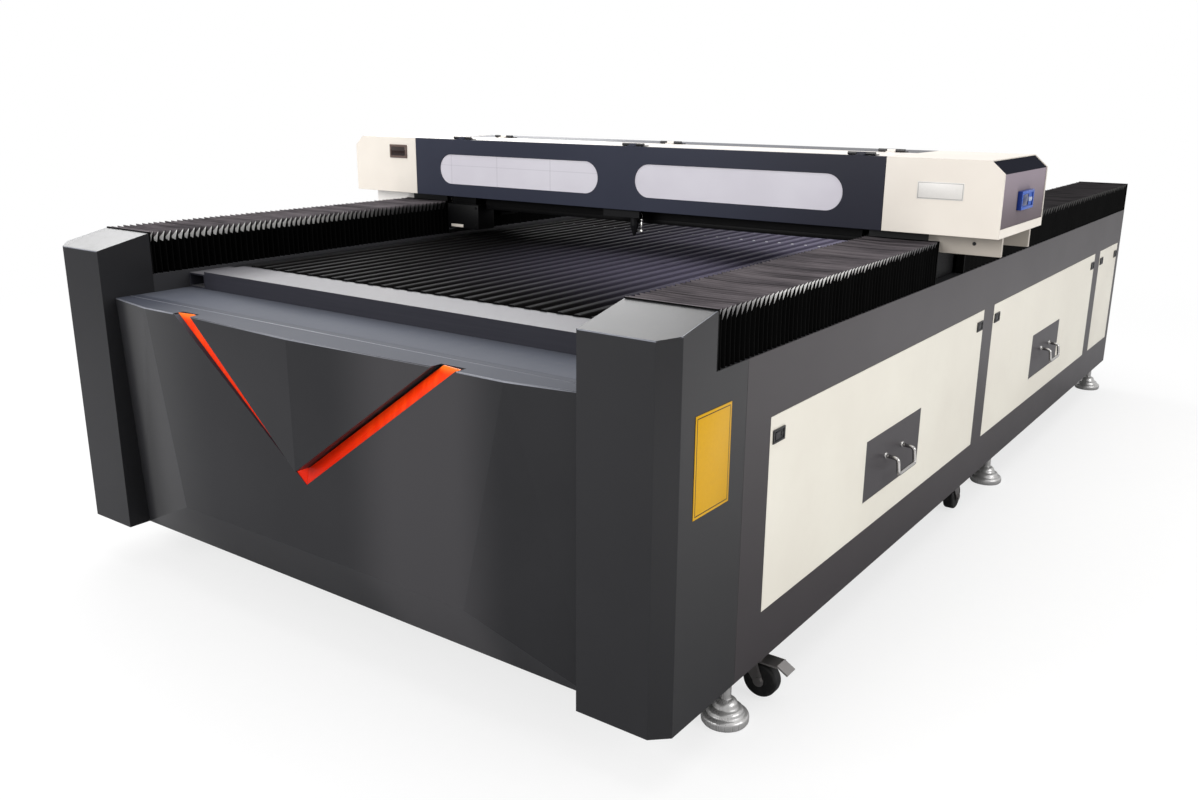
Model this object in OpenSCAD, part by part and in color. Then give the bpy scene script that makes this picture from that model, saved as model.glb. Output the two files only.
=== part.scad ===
// Flatbed laser cutting machine with a gantry that travels over a slatted bed.
// Lengths are in millimetres. x runs across the bed, y from the front to the rear, z upwards.
// Pieces are drawn from the front of the corner posts and the lower edge of the body,
// and placed() moves them so that the origin lies on the floor under the middle of the machine.

/* [Body] */
// Width over the side skins
body_w = 1800; // [1700:10:2000]
// Length from the front of the posts to the rear panel
body_l = 3490; // [3400:10:3700]
// Height of the body's lower edge above the floor
floor_gap = 115; // [110:1:140]
// Height of the side skins
side_h = 635; // [625:1:650]
// Thickness of the sheet metal
sheet_t = 2; // [1.5:0.5:2.5]
// Gap around a lift-off panel or a drawer front
panel_gap = 0.8; // [0.4:0.1:0.9]

/* [Corner posts] */
// Width of a post, of the side beam behind it and of the bellows
post_w = 186; // [176:1:196]
// Depth of a post above the side skin
post_d = 138; // [120:1:150]
// Height of a post's front edge above the side skins
post_up = 72; // [60:1:80]
// Rise of a post's top towards the rear
post_rise = 30; // [10:1:34]
// Chamfer on the outer corner of a post, across
post_cut_x = 32; // [10:1:40]
// Chamfer on the outer corner of a post, along
post_cut_y = 30; // [10:1:40]
// Length of the cover along the side, below the skin's top
post_wrap = 250; // [200:1:260]

/* [Front panel] */
// Drop from the side skins' top to the ledge
ledge_drop = 45; // [35:1:60]
// Set-back of the panel's lower edge
front_low_y = 55; // [40:1:60]
// Set-back of the panel's upper corners at the posts
front_side_y = 33; // [20:1:38]
// Distance from a post to the flat field's lower corner
field_low_in = 267; // [240:1:300]
// Distance from a post to the flat field's upper corner
field_high_in = 165; // [130:1:200]
// How far the field's lower edge stands proud of the posts
field_low_out = 3; // [0:1:10]
// Set-back of the field's upper edge
field_high_y = 7; // [0:1:12]
// Height of the field's lower edge
field_low_z = 120; // [100:1:150]
// Distance from a post to the vee's end at the ledge
vee_in = 279; // [260:1:310]
// Depth of the vee's point below the ledge
vee_h = 315; // [290:1:340]
// Width of a vee strip, measured across
strip_w = 49; // [30:1:55]
// How far the ridge of the insert stands proud of the posts
ridge_out = 26; // [16:1:32]
// Width of the slit between the insert and the strips
slit_w = 11; // [6:1:16]

/* [Bed] */
// Width of the rails beside the slatted bed
bed_side = 64; // [50:1:80]
// Distance from the posts' front to the bed's front beam
bed_front = 240; // [230:1:260]
// Depth of the bed's front and rear beams
bed_beam_d = 125; // [100:1:140]
// Drop from the side skins' top to the top of the front beam
bed_beam_drop = 1; // [0:1:8]
// Height of the top of the slats above the side skins
slat_up = 3; // [0:1:6]
// Spacing of the slats
slat_pitch = 44; // [36:1:60]
// Width of a slat
slat_w = 18; // [6:1:24]

/* [Bellows] */
// Height of the bellows above the side beams
bellows_h = 105; // [100:1:110]
// Number of folds in each bellows
bellows_fold_count = 62; // [60:1:70]
// Length of one leg of a fold
fold_leg = 24; // [23:0.5:26]
// Wall between the folds and the hollow inside
bellows_wall = 3; // [2:0.5:4]

/* [Side openings] */
// Height of the lower edge of the side openings
door_low = 110; // [100:1:120]
// Distance from the side openings to the skins' top
door_head = 130; // [120:1:150]
// Distance from the front to the first opening
door_first = 350; // [330:1:360]
// Length of the bridge between two openings
door_bridge = 95; // [80:1:110]
// Length of the bridge before the narrow rear opening
door_rear_bridge = 89; // [80:1:110]
// Length of the narrow rear opening
door_rear_l = 322; // [280:1:330]
// Distance from the narrow opening to the rear
door_rear_gap = 44; // [44:1:80]
// Depth of a panel's folded edge
door_fold = 20; // [15:1:25]
// Length of a drawer front
drawer_l = 346; // [320:1:360]
// Height of a drawer front
drawer_h = 146; // [130:1:150]
// Height of a drawer front's lower edge
drawer_low = 182; // [170:1:190]
// Depth of a drawer behind its front
drawer_depth = 520; // [450:10:600]
// Spacing of the legs of a drawer's handle
handle_span = 105; // [90:1:128]
// Reach of a drawer's handle
handle_out = 40; // [32:1:50]

/* [Gantry] */
// How far the gantry reaches past a side skin
gantry_over = 157; // [150:1:200]
// Distance from the posts' front to the gantry's front, with the gantry parked
gantry_y = 1132; // [900:1:1400]
// Depth of the gantry
gantry_d = 367; // [360:1:400]
// Height of the gantry's underside above the side skins
gantry_up = 129; // [125:1:140]
// Height of the gantry
gantry_h = 174; // [166:1:196]
// Length of an end cap
cap_l = 277; // [260:1:290]
// Chamfer on the outer edge of an end cap, across
cap_cut_x = 33; // [20:1:40]
// Chamfer on the outer edge of an end cap, down
cap_cut_z = 29; // [20:1:40]
// Height of a window in the cover
window_h = 90; // [70:1:100]
// Distance from the middle to a window's near end
window_in = 63; // [50:1:80]
// Distance from a window's far end to the cover's end
window_end = 105; // [90:1:180]
// Height of a window's middle above the gantry's underside
window_mid = 83; // [75:1:95]
// Depth of the hinged top lid
lid_d = 192; // [170:1:195]
// Outer diameter of the laser tube
tube_dia = 80; // [60:1:84]
// Room between the laser tube and the first mirror
tube_gap = 63; // [20:1:180]

/* [Guides and drives] */
// Width of the long guide rails
rail_w = 23; // [20:1:25]
// Height of the long guide rails
rail_h = 22; // [20:1:24]
// Clearance between a carriage and its rail
run_gap = 0.3; // [0.2:0.05:0.4]
// Diameter of the drive shaft
shaft_dia = 16; // [12:1:17]
// Radial clearance of shafts in their bores
fit_gap = 0.05; // [0.02:0.01:0.1]
// Diameter of the toothed pulleys
pulley_dia = 40; // [36:1:44]
// Width of the toothed belts
belt_w = 20; // [15:1:20]

/* [Cutting head] */
// Place of the head across the bed, with the head parked
head_x = 43; // [-400:1:400]
// Distance from the gantry's front to the nozzle's axis
head_in = 33; // [32:1:34]
// Diameter of the lens tube
lens_dia = 24; // [18:1:26]
// Height of the nozzle's tip above the slats
nozzle_up = 52; // [42:1:62]

/* [Feet and casters] */
// Diameter of a levelling pad
pad_dia = 96; // [80:1:98]
// Distance of the feet from the side skins
foot_in = 40; // [30:1:50]
// Distance of the casters from the side skins
caster_in = 51; // [40:1:55]
// Place of the front casters along the body
caster_front = 418; // [418:1:600]
// Distance of the second casters behind the first opening
caster_back = 17; // [0:1:100]
// Diameter of a caster's wheel
wheel_dia = 75; // [70:1:80]
// Width of a caster's wheel
wheel_w = 30; // [24:1:32]
// Trail of a caster
caster_trail = 28; // [20:1:30]
// Gap between a caster's wheel and the floor
wheel_lift = 5; // [2:1:10]

/* [Exhaust] */
// Outer diameter of an exhaust spigot
spigot_dia = 150; // [120:1:160]
// Length of an exhaust spigot
spigot_l = 60; // [40:1:80]
// Distance of the spigots from the middle, across
spigot_x = 420; // [350:1:550]
// Distance of the spigots below the vents
spigot_drop = 170; // [140:1:200]

/* [Hidden] */

$fn = 64;
// overrun of every cut
over = 4;
// gap that keeps separate pieces of one group apart
weld = 0.2;

// body
half_w = body_w / 2;
inner_x = half_w - post_w;
skin_in = half_w - sheet_t;
post_h = side_h + post_up;
ledge_h = side_h - ledge_drop;
rear_in = body_l - sheet_t;
mid_y = (body_l + spigot_l - ridge_out) / 2;

// tube frame
tube_wall = 4;
sill_w = 60;
sill_h = 80;
sill_front = 60;
upright_d = 40;
beam_h = 90;
cross_h = 50;
sill_x = skin_in - sill_w;
beam_low = side_h - beam_h;
door_h = side_h - door_low - door_head;
door_spare = door_first + door_bridge + door_rear_bridge + door_rear_l + door_rear_gap;
door_l = (body_l - door_spare) / 2;
door_rear_first = door_first + 2 * door_l + door_bridge + door_rear_bridge;
// the side openings as [front, rear]
doors = [
    [door_first, door_first + door_l],
    [door_first + door_l + door_bridge, door_first + 2 * door_l + door_bridge],
    [door_rear_first, door_rear_first + door_rear_l]];
upright_ys = [(post_wrap + doors[0][0]) / 2, (doors[0][1] + doors[1][0]) / 2,
    (doors[1][1] + doors[2][0]) / 2, (doors[2][1] + rear_in) / 2];
door_top = door_low + door_h;

// drawers and their runners
drawer_centre_shares = [0.51, 0.51];
drawer_ys = [for (i = [0:1]) doors[i][0] + door_l * drawer_centre_shares[i]];
drawer_side_in = 12;
drawer_floor_up = 9;
drawer_top_in = 14;
runner_w = 30;
runner_t = 3;
runner_h = 40;
runner_leg_d = 40;
drawer_back = skin_in - drawer_depth;
drawer_floor = drawer_low + drawer_floor_up;
drawer_half = drawer_l / 2 - drawer_side_in;
handle_r = 6;
handle_bend = 14;
handle_foot_r = 10;
handle_foot_t = 4;
handle_mid_share = 0.57;

// latches on the lift-off panels
latch_l = 48;
latch_h = 27;
latch_t = 1.2;
latch_in = 9;
latch_down = 28;
latch_depth = 16;
latch_rim = 4;

// front panel
notch_top = ledge_h + over;
insert_back = 34;
return_depth = 34;
return_t = 2;
flange_l = 94;
ridge_up = 7;
ridge_gap = 1.5;
field_low_x = inner_x - field_low_in;
field_high_x = inner_x - field_high_in;
vee_half = inner_x - vee_in;
vee_low_z = ledge_h - vee_h;
vee_slope = vee_half / vee_h;
ridge_low_z = vee_low_z + strip_w / vee_slope + ridge_gap;
insert_half = vee_half - strip_w - slit_w;
insert_top_y = 8;
strip_t = 3;
strip_low_y = 2;
strip_high_y = 20;
strip_sink = 7;
ledge_tuck = 10;
seam = 0.6;

// bed
bed_low = ledge_h;
bed_rail_low = 8;
bed_rail_x = inner_x - bed_side;
bed_beam_h = side_h - bed_beam_drop;
bed_top = side_h + slat_up;
bed_rear = rear_in - bed_beam_d;
bed_wall = 4;
slat_cut = 2;
slat_count = floor((2 * bed_rail_x - slat_w) / slat_pitch);
bed_cross_shares = [0.02, 0.21, 0.40, 0.59, 0.78, 0.965];
bed_cross_ys = [for (s = bed_cross_shares) bed_front + (rear_in - bed_front) * s];

// guides
rail_x = half_w - post_w / 2;
rail_end = 12;
belt_off = 49;
belt_x = rail_x + belt_off;
belt_t = 2;
belt_up = 72;
belt_clamp_l = 40;
belt_cap_t = 3;
pulley_r = pulley_dia / 2;
belt_low = side_h + belt_up;
belt_top = belt_low + belt_t;
shaft_z = belt_top + run_gap + pulley_r;

// carriages
block_w = 62;
block_l = 80;
block_h = 32;
block_up = 5;
block_space = 20;
riser_half = 36;
riser_wall = 6;
bearing_t = 16;
bearing_low = 12;
bracket_t = 12;
bracket_h = 50;
bracket_in = 12;
bracket_clear = 6;
bracket_gap = 1;
carriage_in = 178;
carriage_y = gantry_y + carriage_in;
block_low = side_h + block_up;
block_top = block_low + block_h;
carriage_half = block_l + block_space / 2;
carriage_end = carriage_half + bracket_gap + bracket_t;
bellows_gap = 2;
bellows_plate = 4;
front_bellows_end = carriage_y - carriage_end - bellows_gap;
rear_bellows_start = carriage_y + carriage_end + bellows_gap;
shaft_y = carriage_y;
rear_bracket_in = 308;
rear_bracket_y = gantry_y + rear_bracket_in;

// gantry sections, from the gantry's front and underside
gantry_half = half_w + gantry_over;
gantry_low = side_h + gantry_up;
gantry_top = gantry_low + gantry_h;
cover_half = gantry_half - cap_l;
window_out = cover_half - window_end;
gantry_rear = gantry_y + gantry_d;
plate_t = 6;
plate_top = gantry_low + plate_t;
plate_in = 58;
plate_side = 3;
slide_front = gantry_y + plate_in;
beam_set = 2;
beam_front = slide_front + beam_set;
top_beam_d = 70;
top_beam_h = 80;
top_beam_in = 8;
top_beam_half = cover_half - top_beam_in;
low_beam_front = 83;
low_beam_d = 85;
low_beam_h = 30;
low_beam_left_in = 154;
low_beam_right_in = 14;
low_beam_left = inner_x - low_beam_left_in;
low_beam_right = inner_x - low_beam_right_in;
top_beam_top = plate_top + top_beam_h;
end_strip_h = 21;
end_rim = 4;
end_set = sheet_t + weld;
end_panel_t = 2;
end_lip = 10;
meter_l = 127;
meter_h = 44;
meter_t = 12;
meter_low = 54;
meter_front = 113;
meter_rim = 7;
meter_dish = 3;
display_l = 76;
display_h = 42;
display_t = 4;
display_in = 77;
display_x = cover_half + display_in;
display_z = 130;

// hinged cover and lid
hinge_l = 70;
hinge_leaf = 24;
hinge_leaf_t = 2.5;
hinge_r = 4;
hinge_up = 0.5;
hinge_part_share = 1 / 3;
hinge_gap = 0.5;
hinge_in = 14;
hinge_x_shares = [-0.79, 0.064, 0.955];
flange_gap = 1.5;
cover_fold = 6;
cover_hinge_y = gantry_y + hinge_in;
lid_hinge_y = cover_hinge_y + lid_d + 2 * flange_gap;
hinge_z = gantry_top + hinge_r + hinge_up;
cover_edge = cover_half - panel_gap;
window_lap = 12;
window_t = 3;

// laser tube and optics
tube_in = 278;
tube_y = gantry_y + tube_in;
optics_up = 80;
optics_z = plate_top + optics_up;
tube_cap_l = 40;
tube_cap_grow = 3;
clamp_l = 30;
clamp_wall = 12;
clamp_x_shares = [-0.55, 0.55];
mirror_in = 97;
mirror_half = 22;
mirror_x = gantry_half - mirror_in;
tube_l = 2 * (mirror_x - mirror_half - tube_gap);
mirror_stem = 12;
mirror_dia = 30;
mirror_sink = 6;

// x drive
x_rail_w = 15;
x_rail_d = 10;
x_rail_up = 25;
x_rail_in = 7;
x_rail_half = top_beam_half - x_rail_in;
x_pulley_in = 30;
x_pulley_x = x_rail_half - x_pulley_in;
x_belt_w = 12;
x_belt_t = 1.5;
x_belt_in = 4;
x_belt_y = beam_front + x_belt_in;
x_belt_up = 12;
x_pulley_r = 20;
x_pulley_rim = 2;
x_shaft_r = 4;
x_motor = 56;
x_motor_l = 60;
x_motor_gap = 1;
x_pulley_z = top_beam_top + x_belt_up + x_pulley_r;
x_rail_z = plate_top + x_rail_up;
y_motor_l = 100;
y_motor_d = 86;
y_motor_h = 72;
y_motor_in = 24;
y_motor_x = inner_x - y_motor_in;
y_motor_clear = 3;
y_gear_l = 34;
y_gear_in = 10;

// cutting head, from the nozzle's axis
head_y = gantry_y + head_in;
nozzle_tip = bed_top + nozzle_up;
head_plate_t = 6;
head_plate_gap = 1;
head_left = 95;
head_right = 28;
head_low = 28;
head_block_l = 70;
head_block_h = 36;
head_block_out = 4;
mirror_block = 44;
mirror_block_d = 35;
holder_half = 18;
holder_d = 28;
holder_h = 22;
lens_r = lens_dia / 2;
head_plate_back = head_y - lens_r - head_plate_gap;
lens_top = 110;
nozzle_h = 30;
nozzle_r = 4;
nozzle_bore = 1.5;
clip_l = 40;
clip_t = 5;

// feet and casters
pad_h = 15;
pad_step_in = 9;
pad_step_h = 11;
pad_neck_in = 26;
pad_neck_h = 8;
foot_stem_r = 10;
nut_r = 17;
nut_h = 16;
nut_down = 4;
foot_first = 296;
foot_second_in = 260;
foot_second = doors[1][0] + foot_second_in;
foot_rear_in = 60;
foot_x = half_w - foot_in;
foot_ys = [foot_first, foot_second, body_l - foot_rear_in];
caster_x = half_w - caster_in;
caster_second = doors[0][1] + caster_back;
caster_plate_l = 92;
caster_plate_w = 58;
caster_plate_t = 6;
caster_cup_r = 28;
caster_cup_h = 14;
caster_head_t = 6;
fork_t = 3;
fork_gap = 1.5;
fork_round = 12;
fork_head_share = 0.75;
axle_r = 6;
axle_head_r = 9;
axle_head_t = 3;
hub_r = 14;
hub_grow = 0.9;
tyre_round = 6;
pedal_l = 24;
pedal_w = 34;
pedal_t = 4;
pedal_slope = 30;
wheel_r = wheel_dia / 2;
axle_z = -floor_gap + wheel_lift + wheel_r;
caster_head_top = -caster_plate_t - caster_cup_h - weld - run_gap;
fork_half = wheel_w / 2 + fork_gap;

// rear panel
vent_l = 150;
vent_h = 8;
vent_pitch = 20;
vent_count = 7;
vent_drop = 215;
vent_z = side_h - vent_drop;
spigot_z = vent_z - spigot_drop;
spigot_wall = 2;
spigot_flange = 22;
spigot_flange_t = 3;

// Moves a piece from the machine's corner to the part's origin
module placed() { translate([0, -mid_y, floor_gap]) children(); }

// Draws a piece on the right and its mirror image on the left
module both_sides() {
    children();
    mirror([1, 0, 0]) children();
}

// Box from one corner to the other
module bar(low, high) { translate(low) cube(high - low); }

// Rectangular tube from corner to corner, open along one direction
module hollow_bar(low, high, wall, along) {
    shift = [for (a = along) a == 0 ? wall : -over];
    difference() {
        bar(low, high);
        bar(low + shift, high - shift);
    }
}

// Extrudes a drawing of y and z across the machine
module across(length) { rotate([90, 0, 90]) linear_extrude(length) children(); }

// Extrudes a drawing of x and z from front to rear
module along(length) { translate([0, length, 0]) rotate([90, 0, 0]) linear_extrude(length) children(); }

// Rod between two points on a line along one of the axes
module rod_x(r, length) { rotate([0, 90, 0]) cylinder(r = r, h = length); }
module rod_y(r, length) { rotate([-90, 0, 0]) cylinder(r = r, h = length); }

// Thin sheet over a net of points, thickened towards the rear
module folded_sheet(points, facets, rim, t) {
    n = len(points);
    polyhedron(
        points = concat(points, [for (p = points) p + [0, t, 0]]),
        faces = concat(
            facets,
            [for (f = facets) [for (i = [len(f) - 1:-1:0]) f[i] + n]],
            [for (i = [0:len(rim) - 1])
                let (a = rim[i], b = rim[(i + 1) % len(rim)]) [b, a, a + n, b + n]]));
}

// Welded tube frame: sills, uprights, side beams, cross tubes and drawer runners
module base_frame() color("dimgray") placed() {
    both_sides() {
        hollow_bar([sill_x, sill_front, 0], [skin_in, rear_in, sill_h], tube_wall, [0, 1, 0]);
        for (y = upright_ys)
            hollow_bar([sill_x, y - upright_d / 2, sill_h + weld],
                [skin_in, y + upright_d / 2, beam_low - weld], tube_wall, [0, 0, 1]);
        hollow_bar([inner_x, post_d, beam_low], [skin_in, rear_in, side_h], tube_wall, [0, 1, 0]);
        for (y = [caster_front, caster_second]) caster_plate(y);
    }
    for (y = upright_ys)
        hollow_bar([weld - sill_x, y - upright_d / 2, 0], [sill_x - weld, y + upright_d / 2, cross_h],
            tube_wall, [1, 0, 0]);
    for (y = bed_cross_ys)
        hollow_bar([weld - inner_x, y - upright_d / 2, bed_low - cross_h],
            [inner_x - weld, y + upright_d / 2, bed_low], tube_wall, [1, 0, 0]);
    for (y = drawer_ys) drawer_runners(y);
}

// Angle runners for one drawer, on legs that stand on the sill and on a tie between the cross tubes
module drawer_runners(y) {
    tie_x = drawer_back - runner_leg_d;
    floor_z = drawer_floor - run_gap;
    front_tube = max([for (u = upright_ys) if (u < y) u]) + upright_d / 2 + weld;
    rear_tube = min([for (u = upright_ys) if (u > y) u]) - upright_d / 2 - weld;
    bar([tie_x, front_tube, 0], [drawer_back, rear_tube, cross_h]);
    for (side = [-1, 1]) {
        edge = y + side * (drawer_half + run_gap);
        inner = edge - side * runner_w;
        outer = edge + side * runner_t;
        bar([tie_x, min(inner, outer), floor_z - runner_t],
            [sill_x + runner_leg_d, max(inner, outer), floor_z]);
        bar([tie_x, min(edge, outer), floor_z + weld],
            [sill_x + runner_leg_d, max(edge, outer), floor_z + runner_h]);
        for (leg = [[tie_x, cross_h], [sill_x, sill_h]])
            bar([leg[0], min(inner, outer), leg[1] + weld],
                [leg[0] + runner_leg_d, max(inner, outer), floor_z - runner_t - weld]);
    }
}

// Side skin with its three openings, behind the post's cover
module side_skin() {
    difference() {
        bar([skin_in, post_wrap + seam, 0], [half_w, body_l, side_h]);
        for (d = doors)
            bar([skin_in - over, d[0] - panel_gap, door_low - panel_gap],
                [half_w + over, d[1] + panel_gap, door_top + panel_gap]);
    }
}

module right_skin() color("gray") placed() side_skin();
module left_skin() color("gray") placed() mirror([1, 0, 0]) side_skin();

// Outline of a post in plan, at a distance inside its outer faces
function post_plan(t) = [
    [inner_x + t, t], [half_w - post_cut_x - t / 2, t], [half_w - t, post_cut_y + t / 2],
    [half_w - t, post_d - t], [inner_x + t, post_d - t]];

// Body of a post with a sloping top, at a distance inside its outer faces
module post_body(t, low) {
    intersection() {
        translate([0, 0, low]) linear_extrude(post_h + post_rise - low) polygon(post_plan(t));
        translate([inner_x, 0, 0]) across(post_w)
            polygon([[0, low], [post_d, low], [post_d, post_h + post_rise - t], [0, post_h - t]]);
    }
}

// Corner post: a folded cover, open to the rear below the side beam, that wraps round to the side skin
module corner_post() {
    difference() {
        post_body(0, 0);
        post_body(sheet_t, -over);
        bar([inner_x + sheet_t, post_d - sheet_t - over, -over], [skin_in, post_d + over, beam_low]);
    }
    bar([skin_in, post_d, 0], [half_w, post_wrap, side_h]);
}

module right_post() color("#444649") placed() corner_post();
module left_post() color("#444649") placed() mirror([1, 0, 0]) corner_post();

// Corners of the front panel, on the right; the left ones are mirrored
front_corners = [
    [inner_x, front_low_y, 0], [field_low_x, -field_low_out, field_low_z],
    [field_high_x, field_high_y, ledge_h], [inner_x, front_side_y, ledge_h]];
front_net = concat(front_corners, [for (p = front_corners) [-p[0], p[1], p[2]]]);
front_facets = [
    [4, 5, 1, 0], [5, 6, 2, 1],
    [0, 1, 2], [0, 2, 3], [4, 6, 5], [4, 7, 6]];

// Triangle of the vee, seen from the front, grown or shrunk across by a width
module vee_outline(grow) {
    top = notch_top + over;
    reach = (top - vee_low_z) * vee_slope + grow;
    polygon([[0, vee_low_z - grow / vee_slope], [reach, top], [-reach, top]]);
}

// Faceted front panel with the notch for the vee, the folded edges of the notch and a top flange
module front_panel() color("#3e4043") placed() {
    rim = [0, 3, 2, 6, 7, 4];
    flange_low = ledge_h - sheet_t;
    flange_front = field_high_y + sheet_t + weld;
    notch_x = vee_half + return_t;
    difference() {
        folded_sheet(front_net, front_facets, rim, sheet_t);
        translate([0, -ridge_out, 0]) along(ridge_out + insert_back) vee_outline(0);
    }
    // folded edges of the notch
    intersection() {
        translate([0, sheet_t + weld, 0]) folded_sheet(front_net, front_facets, rim, return_depth);
        translate([0, -ridge_out, 0]) along(ridge_out + insert_back + return_depth) difference() {
            vee_outline(return_t);
            vee_outline(0);
        }
        bar([-inner_x, -ridge_out, 0], [inner_x, flange_l, flange_low - weld]);
    }
    // top flange
    translate([0, 0, flange_low]) linear_extrude(sheet_t) polygon([
        [inner_x, front_side_y + sheet_t + weld], [field_high_x, flange_front],
        [notch_x, flange_front], [notch_x, insert_back],
        [-notch_x, insert_back], [-notch_x, flange_front],
        [-field_high_x, flange_front], [-inner_x, front_side_y + sheet_t + weld],
        [-inner_x, flange_l], [inner_x, flange_l]]);
}

// Insert of the vee: two facets that meet in an upright ridge, closed at the back
module vee_insert() color("#3a3c40") placed() {
    front = [[0, -ridge_out, ledge_h + ridge_up], [0, -ridge_out, ridge_low_z],
        [insert_half, insert_top_y, ledge_h], [-insert_half, insert_top_y, ledge_h]];
    back = [for (p = front) [p[0], insert_back, p[2]]];
    polyhedron(points = concat(front, back), faces = [
        [0, 2, 1], [0, 1, 3], [4, 5, 6], [4, 7, 5],
        [1, 2, 6, 5], [3, 1, 5, 7], [2, 0, 4, 6], [0, 3, 7, 4]]);
}

// Two bright strips along the vee, set back in the groove
module vee_strips() color("#e03c1a") placed() both_sides() {
    rise = strip_w / vee_slope;
    net = [
        [weld, strip_low_y, vee_low_z + weld / vee_slope],
        [vee_half, strip_high_y, ledge_h], [vee_half - strip_w, strip_high_y + strip_sink, ledge_h],
        [weld, strip_low_y + strip_sink, vee_low_z + rise + weld / vee_slope]];
    folded_sheet(net, [[0, 3, 2], [0, 2, 1]], [0, 1, 2, 3], strip_t);
}

// Ledge plate between the front panel's flange and the bed's front beam
module front_ledge() color("#6a6e7a") placed()
    bar([-inner_x, flange_l + seam, ledge_h - sheet_t], [inner_x, bed_front + ledge_tuck, ledge_h]);

// Rear panel with vent slots and two holes for the exhaust
module rear_panel() color("gray") placed() difference() {
    bar([-skin_in, rear_in, 0], [skin_in, body_l, side_h]);
    for (side = [-1, 1]) {
        translate([side * spigot_x, rear_in - over, spigot_z])
            rod_y(spigot_dia / 2 - spigot_wall, sheet_t + 2 * over);
        for (i = [0:vent_count - 1])
            bar([side * spigot_x - vent_l / 2, rear_in - over, vent_z + i * vent_pitch],
                [side * spigot_x + vent_l / 2, body_l + over, vent_z + i * vent_pitch + vent_h]);
    }
}

// Two flanged spigots that a fume hose pushes on to
module exhaust_spigots() color("silver") placed() for (side = [-1, 1])
    translate([side * spigot_x, body_l, spigot_z]) difference() {
        union() {
            rod_y(spigot_dia / 2, spigot_l);
            rod_y(spigot_dia / 2 + spigot_flange, spigot_flange_t);
        }
        translate([0, -over, 0]) rod_y(spigot_dia / 2 - spigot_wall, spigot_l + 2 * over);
    }

// Frame round the bed: front and rear beams between two side rails
module bed_frame() color("#aaa8ac") placed() {
    for (y = [bed_front, bed_rear])
        hollow_bar([-bed_rail_x, y, bed_low], [bed_rail_x, y + bed_beam_d, bed_beam_h], bed_wall, [1, 0, 0]);
    both_sides() hollow_bar([bed_rail_x + weld, bed_front, bed_low],
        [inner_x, rear_in, side_h - bed_rail_low], bed_wall, [0, 1, 0]);
}

// Long slats that carry the work, with narrowed upper edges
module knife_slats() color("#222326") placed()
    for (i = [0:slat_count - 1])
        translate([(i - (slat_count - 1) / 2) * slat_pitch, bed_front + bed_beam_d, 0])
            along(bed_rear - bed_front - bed_beam_d) polygon([
                [-slat_w / 2, bed_low], [slat_w / 2, bed_low], [slat_w / 2, bed_top - slat_cut],
                [slat_w / 2 - slat_cut, bed_top], [slat_cut - slat_w / 2, bed_top],
                [-slat_w / 2, bed_top - slat_cut]]);

// Long guide rails on the side beams, with undercut flanks
module y_rails() color("silver") placed() both_sides()
    translate([rail_x, post_d + rail_end, side_h]) along(rear_in - post_d - 2 * rail_end)
        rail_section(rail_w, rail_h);

// Section of a guide rail that stands on its base, with a waist for the ball tracks
module rail_section(w, h) {
    waist_share = 0.36;
    low_share = 0.35;
    high_share = 0.65;
    polygon([
        [-w / 2, 0], [w / 2, 0],
        [w / 2, h * low_share], [w * waist_share, h / 2], [w / 2, h * high_share],
        [w / 2, h], [-w / 2, h],
        [-w / 2, h * high_share], [-w * waist_share, h / 2], [-w / 2, h * low_share]]);
}

// Toothed belts along the side beams, held in a clamp at each end
module y_belts() color("#1c1c1e") placed() both_sides() {
    first = post_d + rail_end;
    last = rear_in - rail_end;
    bar([belt_x - belt_w / 2, first, belt_low], [belt_x + belt_w / 2, last, belt_top]);
    jaws = [[side_h, belt_low - weld], [belt_top + weld, belt_top + belt_cap_t]];
    for (y = [first, last - belt_clamp_l], z = jaws)
        bar([belt_x - belt_w / 2, y, z[0]], [belt_x + belt_w / 2, y + belt_clamp_l, z[1]]);
}

// Even zigzag of a number of folds between two levels
function zigzag(run, folds, low, high) =
    [for (i = [0:2 * folds]) [i * run / (2 * folds), i % 2 == 0 ? low : high]];

// Pleated cover over a side beam, from front to rear, with an end plate at each end
module bellows(front, rear) {
    run = rear - front - 2 * bellows_plate;
    leg_run = run / (2 * bellows_fold_count);
    depth = sqrt(fold_leg * fold_leg - leg_run * leg_run);
    half = post_w / 2;
    roof = zigzag(run, bellows_fold_count, bellows_h - depth, bellows_h);
    flank = zigzag(run, bellows_fold_count, half - depth, half);
    last = len(flank) - 1;
    translate([rail_x, front, side_h]) difference() {
        union() {
            translate([0, bellows_plate, 0]) intersection() {
                translate([-half, 0, 0]) across(post_w) polygon(concat([[run, 0], [0, 0]], roof));
                linear_extrude(bellows_h) polygon(concat(
                    [for (p = flank) [p[1], p[0]]],
                    [for (i = [last:-1:0]) [-flank[i][1], flank[i][0]]]));
            }
            for (y = [0, run + bellows_plate]) bar([-half, y, 0], [half, y + bellows_plate, bellows_h]);
        }
        bar([depth + bellows_wall - half, -over, -over],
            [half - depth - bellows_wall, rear - front + over, bellows_h - depth - bellows_wall]);
    }
}

module front_right_bellows() color("#1b1b1d") placed() bellows(post_d, front_bellows_end);
module front_left_bellows() color("#1b1b1d") placed() mirror([1, 0, 0]) bellows(post_d, front_bellows_end);
module rear_right_bellows() color("#1b1b1d") placed() bellows(rear_bellows_start, rear_in);
module rear_left_bellows() color("#1b1b1d") placed() mirror([1, 0, 0]) bellows(rear_bellows_start, rear_in);

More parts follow.
